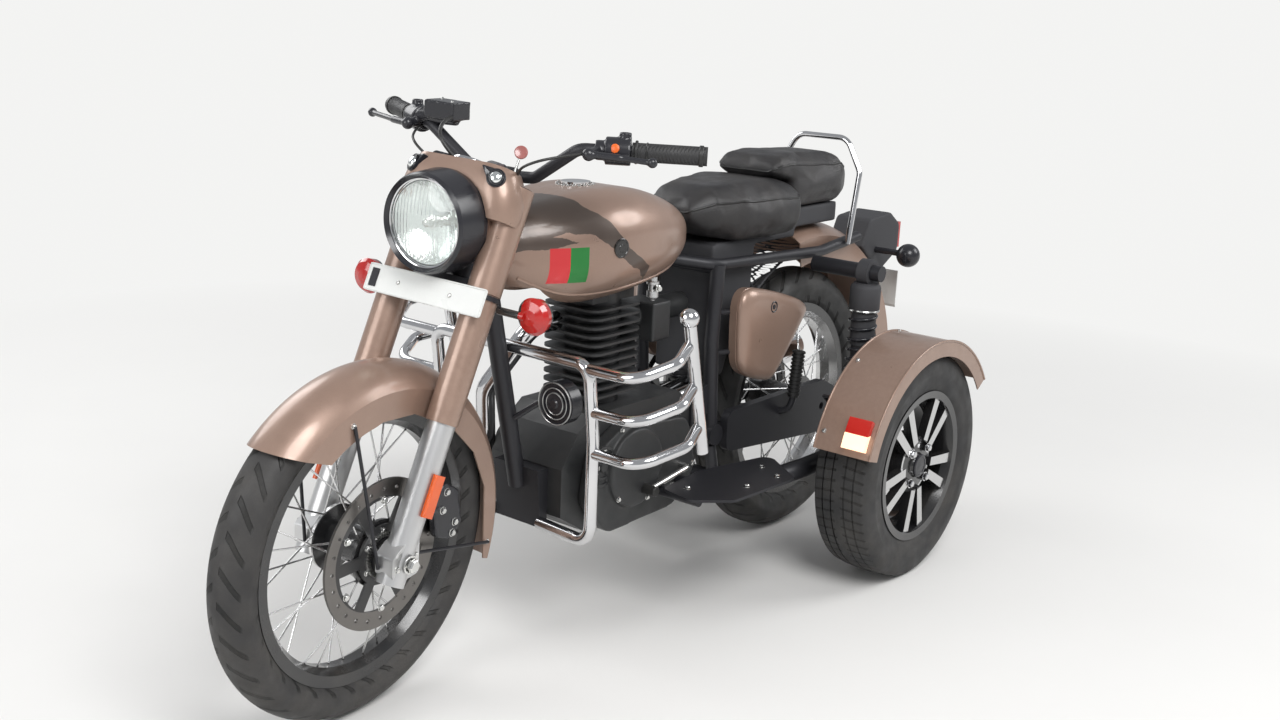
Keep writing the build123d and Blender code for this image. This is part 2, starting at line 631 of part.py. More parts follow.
with BuildPart() as front_caliper:
    add(side_outline(CALIPER_OUTLINE, DISC_Y - 16, 42, 14))
    slot = [Vector(WHEELBASE, y, FRONT_TYRE_RADIUS) for y in (DISC_Y - 6, DISC_Y + DISC_THICKNESS + 6)]
    add(rod(slot[0], slot[1], DISC_RADIUS + 7), mode=Mode.SUBTRACT)
    leg_back = steer_point(386, YOKE_OFFSET - LEG_RADIUS + 1.6, DISC_Y + 22)
    add(rod((WHEELBASE - 132, DISC_Y + 20, 372), leg_back, 8))

with BuildPart() as fork_reflectors:
    for side in SIDES:
        out = LEG_SPACING + LEG_RADIUS + 5.3
        low, high = (steer_point(height, YOKE_OFFSET, side * out) for height in (380, 450))
        with BuildSketch(Plane(origin=low, x_dir=(RAKE_COS, 0, RAKE_SIN), z_dir=high - low)):
            RectangleRounded(28, 10, 4)
        extrude(amount=(high - low).length)


def guard_shell(centre, radius, width, crown, depth, start_angle, end_angle):
    """A mudguard: a crowned channel turned about the axle; angles run from straight ahead, up and over."""
    half, inner = width / 2, width / 2 - GUARD_SHEET
    edge, foot = radius - crown, radius - depth
    with BuildSketch(axle_plane(centre)) as section:
        with BuildLine():
            Line((-half, foot), (-half, edge))
            ThreePointArc((-half, edge), (0, radius), (half, edge))
            Polyline((half, edge), (half, foot), (inner, foot), (inner, edge - 1))
            ThreePointArc((inner, edge - 1), (0, radius - GUARD_SHEET), (-inner, edge - 1))
            Polyline((-inner, edge - 1), (-inner, foot), (-half, foot))
        make_face()
    axis = Axis(centre, (0, -1, 0))
    start = section.sketch.rotate(axis, start_angle - 90)
    return revolve(start, axis=axis, revolution_arc=end_angle - start_angle, mode=Mode.PRIVATE)


with BuildPart() as front_mudguard:
    add(guard_shell(FRONT_GUARD_CENTRE, FRONT_GUARD_RADIUS, FRONT_GUARD_WIDTH, 40, 90, 45, 199))
    add(side_outline(FRONT_GUARD_TRIM, -100, 200), mode=Mode.SUBTRACT)

# Frame
SPINE_FRONT = (WHEELBASE - 320, 0, 800)
SPINE_REAR = (520, 0, 742)


def spine_top(x):
    """Height of the top of the spine tube above a point x."""
    slope = (SPINE_FRONT[2] - SPINE_REAR[2]) / (SPINE_FRONT[0] - SPINE_REAR[0])
    return SPINE_REAR[2] + (x - SPINE_REAR[0]) * slope + FRAME_TUBE_RADIUS / math.cos(math.atan(slope))


with BuildPart() as frame:
    add(rod(steer_point(HEAD_LOW_HEIGHT), steer_point(HEAD_HIGH_HEIGHT), HEAD_TUBE_RADIUS))
    add(rod(SPINE_FRONT, SPINE_REAR, FRAME_TUBE_RADIUS))
    add(rod(SPINE_FRONT, (950, 0, 330), FRAME_TUBE_RADIUS + 2))
    add(side_outline([(CRANKCASE_FRONT + 0.3, 250), (CRANKCASE_FRONT + 20, 250), (CRANKCASE_FRONT + 30, 372),
                      (CRANKCASE_FRONT + 0.3, 372)], -60, 120))
    for side in SIDES:
        y = side * RAIL_SPACING
        rail = [(SPINE_REAR[0] + 6, side * 8, SPINE_REAR[2]), (440, y, 728), (20, y, 712), (-150, y, 730)]
        add(bent_tube(rail, 60, FRAME_TUBE_RADIUS - 3))
        add(bent_tube([(436, y, 728), (446, y, 560), (PIVOT_X, y, PIVOT_Z)], 60, FRAME_TUBE_RADIUS))
        plate = [(440, 470), (512, 440), (512, 380), (440, 400)]
        add(side_outline(plate, side * (ENGINE_HALF_WIDTH + 0.3), side * 6))
    add(rod((PIVOT_X, -RAIL_SPACING - 18, PIVOT_Z), (PIVOT_X, RAIL_SPACING + 18, PIVOT_Z), 24))
    add(rod((438, -RAIL_SPACING, 720), (438, RAIL_SPACING, 720), FRAME_TUBE_RADIUS - 2))
    stem_ends = [steer_point(height) for height in (HEAD_LOW_HEIGHT - 40, HEAD_HIGH_HEIGHT + 40)]
    stem_hole = rod(stem_ends[0], stem_ends[1], STEM_RADIUS + RUNNING_GAP)
    add(stem_hole, mode=Mode.SUBTRACT)

# Engine
with BuildPart() as crankcase:
    add(side_outline(CRANKCASE_OUTLINE, -ENGINE_HALF_WIDTH, 2 * ENGINE_HALF_WIDTH))

with BuildPart() as engine_covers:
    for side, depth in ((1, LEFT_COVER_DEPTH), (-1, RIGHT_COVER_DEPTH)):
        start = side * (ENGINE_HALF_WIDTH + 0.2)
        cover = [(524, 300), (600, 228), (820, 222), (880, 300), (860, 400), (780, 440), (560, 420)]
        add(side_outline(cover, start, side * depth, 40))
    with BuildSketch(Plane(origin=(745, ENGINE_HALF_WIDTH + 20, 350), x_dir=(1, 0, 0), z_dir=(0, 1, 0))):
        Circle(84)
    extrude(amount=30)

with BuildPart() as cylinder:
    with Locations((CYLINDER_X, 0, (CYLINDER_LOW_Z + CYLINDER_HIGH_Z) / 2 + 0.2)):
        Cylinder(58, CYLINDER_HIGH_Z - CYLINDER_LOW_Z - 0.4)
    for index in range(FIN_COUNT):
        with BuildSketch(Plane.XY.offset(CYLINDER_LOW_Z + 20 + index * FIN_PITCH)):
            with Locations((CYLINDER_X, 0)):
                RectangleRounded(FIN_LENGTH, FIN_WIDTH, 26)
        extrude(amount=FIN_THICKNESS)
    with Locations((CYLINDER_X, 0, CYLINDER_HIGH_Z - 22)):
        Box(130, 110, 44)

PORT_X = CYLINDER_X + FIN_LENGTH / 2 + 0.3
with BuildPart() as exhaust:
    add(bent_tube([(PORT_X, -30, 640), (884, -30, 640), (932, -112, 500), (900, -136, 262), (800, -152, 222),
                   (520, -156, 222), (392, -160, 300), (340, -161, 316)], [40, 50, 60, 40, 60, 50], 20))
    add(rod((346, -161, 314), (300, -161.5, 324), 30))
    add(rod((304, -161.5, 323), (-300, -166, 380), 42))

with BuildPart() as carburettor:
    intake_x = CYLINDER_X - FIN_LENGTH / 2 - 0.3
    add(rod((intake_x, 0, 628), (440, 0, 628), 28))
    with Locations((580, 20, 618)):
        Box(60, 84, 84)

with BuildPart() as horn:
    add(rod((944, 118, 527), (972, 118, 527), 43))
    add(rod((958, 80, 527), (982, 21, 480), 6))

# Tank, seats and body panels
with BuildPart() as tank:
    for x, width, low, high, corner in TANK_SECTIONS:
        with BuildSketch(cross_plane(x, (low + high) / 2)):
            RectangleRounded(width, high - low, corner)
    loft()
    tunnel = [(1200, 600), (1200, spine_top(1200) + 0.3), (400, spine_top(400) + 0.3), (400, 600)]
    add(side_outline(tunnel, -24, 48), mode=Mode.SUBTRACT)
    add(side_outline([(1200, 600), (1200, 746), (400, 746), (400, 600)], -76, 152), mode=Mode.SUBTRACT)
    nose = [steer_point(height, -TANK_FRONT_GAP) for height in (700, 1100)]
    ahead = [(nose[0].X, nose[0].Z), (1400, nose[0].Z), (1400, nose[1].Z), (nose[1].X, nose[1].Z)]
    add(side_outline(ahead, -200, 400), mode=Mode.SUBTRACT)
    add(rod((CAP_X, 0, CAP_Z), (CAP_X, 0, CAP_Z + 60), CAP_RADIUS + 0.3), mode=Mode.SUBTRACT)

with BuildPart() as fuel_cap:
    add(rod((CAP_X, 0, CAP_Z + 0.3), (CAP_X, 0, CAP_Z + 18), CAP_RADIUS))


def cushion(rows):
    """A seat lofted through rounded sections; each row is x, width, low z, high z and corner radius."""
    sections = []
    for x, width, low, high, corner in rows:
        with BuildSketch(cross_plane(x, (low + high) / 2)) as section:
            RectangleRounded(width, high - low, corner)
        sections.append(section.sketch)
    return loft(sections, ruled=True, mode=Mode.PRIVATE)


with BuildPart() as rider_seat:
    add(cushion(RIDER_SEAT_ROWS))

with BuildPart() as pillion_seat:
    add(cushion(PILLION_SEAT_ROWS))

# Tray under both seats, with the air box in front of the rear wheel and an inner guard between them
with BuildPart() as seat_base:
    with Locations((255, 0, 760)):
        Box(310, 150, 16)
    with Locations((30, 0, 796.65)):
        Box(220, 150, 46.7)
    with Locations((122, 0, 780)):
        Box(44, 150, 56)
    add(side_outline([(423.7, 764), (423.7, 470), (360, 470), (330, 560), (270, 640), (262, 764)], -74, 148))
    add(guard_shell(REAR_AXLE, INNER_GUARD_RADIUS, 144, 8, 14, 20, 84))

with BuildPart() as side_panels:
    for side in SIDES:
        add(side_outline(PANEL_OUTLINE, side * PANEL_INNER_Y, side * (PANEL_OUTER_Y - PANEL_INNER_Y), 34))
        for tube_x, z in ((444.5, 532), (442.2, 622)):
            foot, tube = Vector(396, side * (PANEL_INNER_Y + 3), z), Vector(tube_x, side * RAIL_SPACING, z)
            reach = (tube - foot).length - FRAME_TUBE_RADIUS - 0.5
            add(rod(foot, foot + (tube - foot).normalized() * reach, 6))

with BuildPart() as rear_mudguard:
    add(guard_shell(REAR_GUARD_CENTRE, REAR_GUARD_RADIUS, REAR_GUARD_WIDTH, 30, 90, 78, 188))

guard_drum = rod(REAR_GUARD_CENTRE + Vector(0, -100, 0), REAR_GUARD_CENTRE + Vector(0, 100, 0),
                 REAR_GUARD_RADIUS + 0.3)
with BuildPart() as tail_lamp:
    housing = [(-250, 660), (-296, 752), (-400, 762), (-452, 728), (-452, 655), (-350, 600)]
    add(side_outline(housing, -TAIL_LAMP_HALF, 2 * TAIL_LAMP_HALF, 14))
    add(guard_drum, mode=Mode.SUBTRACT)
with BuildPart() as tail_lens:
    with Locations((-459.3, 0, 696)):
        Box(14, 92, 68)
with BuildPart() as rear_plate:
    with Locations((-392, 0, 560)):
        Box(3, 180, 104)
    add(rod((-391, 0, 566), (-368, 0, 566), 14))
    add(guard_drum, mode=Mode.SUBTRACT)
with BuildPart() as rear_indicators:
    for side in SIDES:
        add(rod((-332, side * (TAIL_LAMP_HALF + 0.3), 670), (-332, side * 124, 670), 8))
        with Locations((-330, side * 148, 668)):
            Sphere(30)
with BuildPart() as grab_hoop:
    hoop = [(-70, RAIL_SPACING + 20.3, 721.5), (-110, 114, 892), (-114, 70, 970)]
    add(bent_tube(hoop + mirrored(hoop[::-1], -1), 40, 7))

# Crash guard
with BuildPart() as crash_guard:
    post = [(948, 60.3, 262), (962, GUARD_POST_Y, 262), (962, GUARD_POST_Y, 470), (980, GUARD_POST_Y, 620)]
    add(bent_tube(post + mirrored(post[::-1], -1), [40, 120, 30, 30, 120, 40], GUARD_TUBE_RADIUS))
    for side in SIDES:
        for z, x_post, x_outer in GUARD_BARS:
            points = [(x_post, GUARD_POST_Y, z), (x_post + 10, GUARD_OUTER_Y - 10, z + 4),
                      (x_outer + 70, GUARD_OUTER_Y + 30, z + 30), (x_outer, GUARD_OUTER_Y, z + 44)]
            add(bent_tube(mirrored(points, side), [54, 34], GUARD_TUBE_RADIUS - 1.5))
        foot, head = (783, side * GUARD_OUTER_Y, 437), (846, side * GUARD_OUTER_Y, 711)
        add(rod(foot, head, GUARD_TUBE_RADIUS))
        with Locations(head):
            Sphere(19)

# Rear running gear
with BuildPart() as swing_arm:
    for side in SIDES:
        y = side * ARM_SPACING
        add(rod((PIVOT_X - 24.4, y, PIVOT_Z - 2), (-30, y, REAR_TYRE_RADIUS), 17))
    add(rod((PIVOT_X - 50, -ARM_SPACING, PIVOT_Z - 2), (PIVOT_X - 50, ARM_SPACING, PIVOT_Z - 2), 18))
    case = [(400, 392), (400, 300), (0, 262), (-60, 290), (-60, 366), (0, 394)]
    add(side_outline(case, ARM_SPACING + 16, 20, 24))
    add(rod((0, -200, REAR_TYRE_RADIUS), (0, 200, REAR_TYRE_RADIUS), AXLE_RADIUS + 0.05), mode=Mode.SUBTRACT)

with BuildPart() as rear_axle:
    add(rod((0, -ARM_SPACING - 18, REAR_TYRE_RADIUS), (0, ARM_SPACING + 21, REAR_TYRE_RADIUS), AXLE_RADIUS))

# Side wheel carrier
with BuildPart() as footboards:
    for side in SIDES:
        with BuildSketch(Plane.XY.offset(BOARD_Z - BOARD_THICKNESS)) as board:
            with BuildLine():
                Polyline(*[(x, side * y) for x, y in BOARD_OUTLINE], close=True)
            make_face()
            fillet(board.vertices(), 22)
        extrude(amount=BOARD_THICKNESS)
        cover_face = ENGINE_HALF_WIDTH + 0.5 + (LEFT_COVER_DEPTH if side > 0 else RIGHT_COVER_DEPTH)
        for x in (590, 670):
            add(rod((x, side * cover_face, BOARD_Z - 16), (x, side * 250, BOARD_Z - 16), 11))

# Welded steel: low beams out to the stub axles, high bars for the dampers and the mudguard stays
with BuildPart() as side_carrier:
    half = [(BEAM_X, 0, BEAM_Z - 60), (BEAM_X, 170, BEAM_Z - 60), (300, CARRIER_Y - 6, BEAM_Z - 20),
            (SIDE_WHEEL_X - 40, CARRIER_Y - 6, SIDE_AXLE_Z)]
    add(rod((BEAM_X, -30, BEAM_Z - 60), (BEAM_X, 30, BEAM_Z - 60), BEAM_RADIUS))
    for side in SIDES:
        add(bent_tube(mirrored(half, side), [90, 90], BEAM_RADIUS))
        hub = Vector(SIDE_WHEEL_X, 0, SIDE_AXLE_Z)
        inner, outer = hub + Vector(0, side * (CARRIER_Y - 40), 0), hub + Vector(0, side * 300, 0)
        add(rod(inner, outer, 30))
        add(rod(outer, hub + Vector(0, side * STUB_AXLE_END, 0), STUB_AXLE_RADIUS))
        for angle in (40, 90, 128):
            reach = Vector(math.cos(math.radians(angle)), 0, math.sin(math.radians(angle)))
            knee = hub + Vector(0, side * 295, 0) + reach * 278
            add(rod(hub + Vector(0, side * 295, 0), knee, 4))
            add(rod(knee, hub + Vector(0, side * 342, 0) + reach * (SIDE_GUARD_RADIUS - 7.4), 4))
        y = side * RAIL_SPACING
        add(rod((PIVOT_X, y, PIVOT_Z - 24.3), (BEAM_X + 6, y, BEAM_Z - 60), 14))
        bar_start = Vector(CROSS_BAR_X, side * (RAIL_SPACING + 13.3), CROSS_BAR_Z)
        bar_end = Vector(CROSS_BAR_X, side * CROSS_BAR_END_Y, CROSS_BAR_Z)
        add(rod(bar_start, bar_end, CROSS_BAR_RADIUS))
    add(rod((PIVOT_X, -140, PIVOT_Z), (PIVOT_X, 140, PIVOT_Z), 24.3), mode=Mode.SUBTRACT)

with BuildPart() as side_shocks:
    for side in SIDES:
        upper = Vector(CROSS_BAR_X, side * SHOCK_Y, CROSS_BAR_Z)
        lower = Vector(SIDE_WHEEL_X, side * SHOCK_Y, SIDE_AXLE_Z + 52)
        add(rod(upper - Vector(0, 14, 0), upper + Vector(0, 14, 0), 30))
        add(rod(upper - Vector(0, 0, 24), upper - Vector(0, 0, 170), 29))
        add(rod(upper - Vector(0, 0, 170), lower, 24))
        add(rod(lower, lower - Vector(0, 0, 21.7), 12))
        bar_hole = rod(upper - Vector(0, 20, 0), upper + Vector(0, 20, 0), CROSS_BAR_RADIUS + 0.2)
        add(bar_hole, mode=Mode.SUBTRACT)


def side_guard(side):
    """A flat-topped arch over a side wheel with a folded outer lip."""
    centre = (SIDE_WHEEL_X, 0, SIDE_AXLE_Z)
    inner, outer = side * SIDE_GUARD_INNER_Y, side * SIDE_GUARD_OUTER_Y
    lip, under = SIDE_GUARD_RADIUS - SIDE_GUARD_LIP, SIDE_GUARD_RADIUS - GUARD_SHEET
    fold = outer - side * GUARD_SHEET
    sheet = [(inner, under), (inner, SIDE_GUARD_RADIUS), (outer, SIDE_GUARD_RADIUS), (outer, lip),
             (fold, lip), (fold, under)]
    with BuildSketch(axle_plane(centre)) as section:
        with BuildLine():
            Polyline(*sheet, close=True)
        make_face()
    axis = Axis(centre, (0, -1, 0))
    start = section.sketch.rotate(axis, SIDE_GUARD_FRONT_ANGLE - 90)
    return revolve(start, axis=axis, revolution_arc=SIDE_GUARD_REAR_ANGLE - SIDE_GUARD_FRONT_ANGLE,
                   mode=Mode.PRIVATE)


with BuildPart() as side_mudguards:
    for side in SIDES:
        add(side_guard(side))

with BuildPart() as side_lamps:
    axis = Axis((SIDE_WHEEL_X, 0, SIDE_AXLE_Z), (0, -1, 0))
    for side in SIDES:
        with BuildSketch(axle_plane((SIDE_WHEEL_X, 0, SIDE_AXLE_Z))) as lamp_section:
            with Locations((side * 420, SIDE_GUARD_RADIUS + 6.3)):
                Rectangle(56, 12)
        start = lamp_section.sketch.rotate(axis, SIDE_GUARD_FRONT_ANGLE + 3 - 90)
        add(revolve(start, axis=axis, revolution_arc=13, mode=Mode.PRIVATE))

FINISHED = {
    "front_tyre": front_tyre, "front_wheel": front_wheel, "front_disc": front_disc, "rear_tyre": rear_tyre,
    "rear_wheel": rear_wheel, "rear_disc": rear_disc, "side_tyre_left": side_tyre_left,
    "side_tyre_right": side_tyre_right, "side_wheel_left": side_wheel_left,
    "side_wheel_right": side_wheel_right, "front_axle": front_axle, "fork_legs": fork_legs,
    "fork_shrouds": fork_shrouds, "yokes": yokes,
    "nacelle": nacelle, "headlamp_rim": headlamp_rim, "headlamp_lens": headlamp_lens, "handlebar": handlebar,
    "grips": grips, "controls": controls, "front_plate": front_plate, "front_brackets": front_brackets,
    "front_indicators": front_indicators, "front_caliper": front_caliper, "fork_reflectors": fork_reflectors,
    "front_mudguard": front_mudguard, "frame": frame, "crankcase": crankcase, "engine_covers": engine_covers,
    "cylinder": cylinder, "exhaust": exhaust, "carburettor": carburettor, "horn": horn, "tank": tank,
    "fuel_cap": fuel_cap, "rider_seat": rider_seat, "pillion_seat": pillion_seat, "seat_base": seat_base,
    "side_panels": side_panels, "rear_mudguard": rear_mudguard, "tail_lamp": tail_lamp,
    "tail_lens": tail_lens,
    "rear_plate": rear_plate, "rear_indicators": rear_indicators, "grab_hoop": grab_hoop,
    "crash_guard": crash_guard, "swing_arm": swing_arm, "rear_axle": rear_axle, "footboards": footboards,
    "side_carrier": side_carrier, "side_shocks": side_shocks, "side_mudguards": side_mudguards,
    "side_lamps": side_lamps,
}
FRONT_WHEEL_NODES = ("front_tyre", "front_wheel", "front_disc")
STEERED_NODES = (
    "front_axle", "fork_legs", "fork_shrouds", "yokes", "nacelle", "headlamp_rim", "headlamp_lens",
    "handlebar", "grips", "controls", "front_plate", "front_brackets", "front_indicators", "front_caliper",
    "fork_reflectors", "front_mudguard",
)

# The machine stands with its steering a little to the left, about the middle of its overall length
MIDDLE_X = (WHEELBASE + FRONT_TYRE_RADIUS - 466.0) / 2

if __name__ == "__main__":
    os.makedirs("parts", exist_ok=True)
    for name, piece in FINISHED.items():
        solid = piece.part
        if name in STEERED_NODES + FRONT_WHEEL_NODES:
            solid = solid.rotate(STEERING, STEER_ANGLE)
        solid = solid.moved(Location((-MIDDLE_X, 0, 0)))
        solid.label = name
        export_step(solid, f"parts/{name}.step")
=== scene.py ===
"""Motorcycle with side wheels: dressed parts, camera and studio, in the CAD frame, in metres."""

import json
import logging
import math
from dataclasses import dataclass, replace
from enum import Enum
from typing import Callable

import bmesh
import bpy
from mathutils import Matrix, Vector

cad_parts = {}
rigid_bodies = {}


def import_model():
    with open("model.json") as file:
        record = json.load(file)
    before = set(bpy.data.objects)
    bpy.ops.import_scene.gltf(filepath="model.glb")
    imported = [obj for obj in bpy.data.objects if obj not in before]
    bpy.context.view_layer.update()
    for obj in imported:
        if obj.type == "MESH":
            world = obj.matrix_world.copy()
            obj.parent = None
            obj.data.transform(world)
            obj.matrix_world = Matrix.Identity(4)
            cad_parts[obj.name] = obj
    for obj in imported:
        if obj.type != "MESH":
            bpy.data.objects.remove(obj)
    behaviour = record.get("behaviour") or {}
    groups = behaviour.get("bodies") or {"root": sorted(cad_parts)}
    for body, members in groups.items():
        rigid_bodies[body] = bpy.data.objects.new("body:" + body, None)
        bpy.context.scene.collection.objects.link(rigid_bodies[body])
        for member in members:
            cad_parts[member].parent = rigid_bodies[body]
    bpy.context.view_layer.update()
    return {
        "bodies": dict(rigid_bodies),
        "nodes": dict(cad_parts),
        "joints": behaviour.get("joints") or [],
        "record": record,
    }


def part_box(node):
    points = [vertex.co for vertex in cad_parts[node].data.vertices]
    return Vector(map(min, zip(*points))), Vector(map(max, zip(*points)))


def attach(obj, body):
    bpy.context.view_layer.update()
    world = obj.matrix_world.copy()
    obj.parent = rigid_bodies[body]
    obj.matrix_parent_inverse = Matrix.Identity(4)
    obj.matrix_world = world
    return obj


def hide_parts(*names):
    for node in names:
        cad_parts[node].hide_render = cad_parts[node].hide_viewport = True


LOG = logging.getLogger("motorcycle")
DATUM_X = 613.0
RAKE = math.radians(24.5)
SIDES = {1: "left", -1: "right"}
Socket = bpy.types.NodeSocket
Profile = list[tuple[float, float]]
Colour = tuple[float, float, float]
Given = bpy.types.bpy_prop_collection
Seat = tuple[Vector, Vector, float]


def at(x: float, y: float, z: float) -> Vector:
    """The row frame's point for millimetres ahead of the rear axle, to the left and above the floor."""
    return Vector(((x - DATUM_X) / 1000, y / 1000, z / 1000))


STEER_FOOT = at(1465.0, 0.0, 0.0)
STEER_UP = Vector((-math.sin(RAKE), 0.0, math.cos(RAKE)))
STEER_TURN = (Matrix.Translation(STEER_FOOT) @ Matrix.Rotation(math.radians(7.0), 4, STEER_UP)
              @ Matrix.Translation(-STEER_FOOT))
TURNED_BODIES = ("steering", "front_wheel_set")
FORWARD, LEFT, UP = Vector((1, 0, 0)), Vector((0, 1, 0)), Vector((0, 0, 1))
EYE, PILOT_AIM = at(2886, 1833, 1279), at(1084, 60, 958)
FRONT_AXLE, REAR_AXLE, SIDE_AXLE = (1370, 322), (0, 328), (70, 266)
SHROUD_AHEAD = 47.1
GRIP_TIP, GRIP_BEND = (899, 367, 1030), (1008, 172, 1024)


def about(axle: tuple[float, float], radius: float, turn: float, y: float) -> Vector:
    """The point at a radius in millimetres and a turn in radians about an axle, y to the left."""
    return at(axle[0] + radius * math.cos(turn), y, axle[1] + radius * math.sin(turn))


def placed(name: str, data: bpy.types.ID) -> bpy.types.Object:
    """Put a new object in the scene.

    Args:
        name: its name.
        data: its mesh, lamp or camera.

    Returns:
        The object.
    """
    made = bpy.data.objects.new(name, data)
    bpy.context.scene.collection.objects.link(made)
    return made


def settle(made: bpy.types.Object) -> None:
    """Apply an object's modifiers.

    Args:
        made: the object.
    """
    graph = bpy.context.evaluated_depsgraph_get()
    final = bpy.data.meshes.new_from_object(made.evaluated_get(graph))
    made.modifiers.clear()
    made.data = final


class Relief(Enum):
    """The fine height pattern of a surface."""

    SMOOTH = "orange_peel"
    CAST = "cast_skin"
    BRUSHED = "brushed_lines"
    VINYL = "vinyl_grain"
    RUBBER = "rubber_skin"


class Tree:
    """A node tree that is filled one node at a time."""

    def __init__(self, tree: bpy.types.NodeTree) -> None:
        """Start on a tree, emptied."""
        self.tree = tree
        tree.nodes.clear()

    def node(self, kind: str, inputs: dict | None = None, **settings: object) -> bpy.types.Node:
        """Add a node, give it its settings and link or set its inputs.

        Args:
            kind: the node's type name without its prefix.
            inputs: values or sockets by input name or index.
            settings: attributes of the node.

        Returns:
            The new node.
        """
        made = self.tree.nodes.new("ShaderNode" + kind)
        for name, value in settings.items():
            setattr(made, name, value)
        for name, value in (inputs or {}).items():
            if isinstance(value, bpy.types.NodeSocket):
                self.tree.links.new(value, made.inputs[name])
            else:
                made.inputs[name].default_value = value
        return made

    def math(self, operation: str, *values: object) -> Socket:
        """One arithmetic step on numbers or sockets."""
        return self.node("Math", dict(enumerate(values)), operation=operation).outputs[0]

    def mix(self, factor: object, low: object, high: object) -> Socket:
        """Blend two colours.

        Args:
            factor: 0 for low, 1 for high.
            low: the first colour.
            high: the second colour.

        Returns:
            The blended colour's socket.
        """
        made = self.node("Mix", data_type="RGBA")
        for index, value in ((0, factor), (6, low), (7, high)):
            if isinstance(value, bpy.types.NodeSocket):
                self.tree.links.new(value, made.inputs[index])
            else:
                made.inputs[index].default_value = value
        return made.outputs[2]

    def spread(self, value: Socket, low: float, high: float, to_low: float = 0.0, to_high: float = 1.0) -> Socket:
        """Map low..high onto to_low..to_high, with ends held."""
        return self.node("MapRange", {0: value, 1: low, 2: high, 3: to_low, 4: to_high}).outputs[0]

    def place(self, turned: bool = False) -> Socket:
        """The surface point in the piece's own frame.

        Args:
            turned: undo the handlebar's turn, for CAD nodes of the steering group.

        Returns:
            The point's socket.
        """
        here = self.node("TexCoord").outputs["Object"]
        if not turned:
            return here
        back = {"Vector": here, "Center": tuple(STEER_FOOT), "Axis": tuple(STEER_UP), "Angle": math.radians(-7.0)}
        return self.node("VectorRotate", back, rotation_type="AXIS_ANGLE").outputs[0]


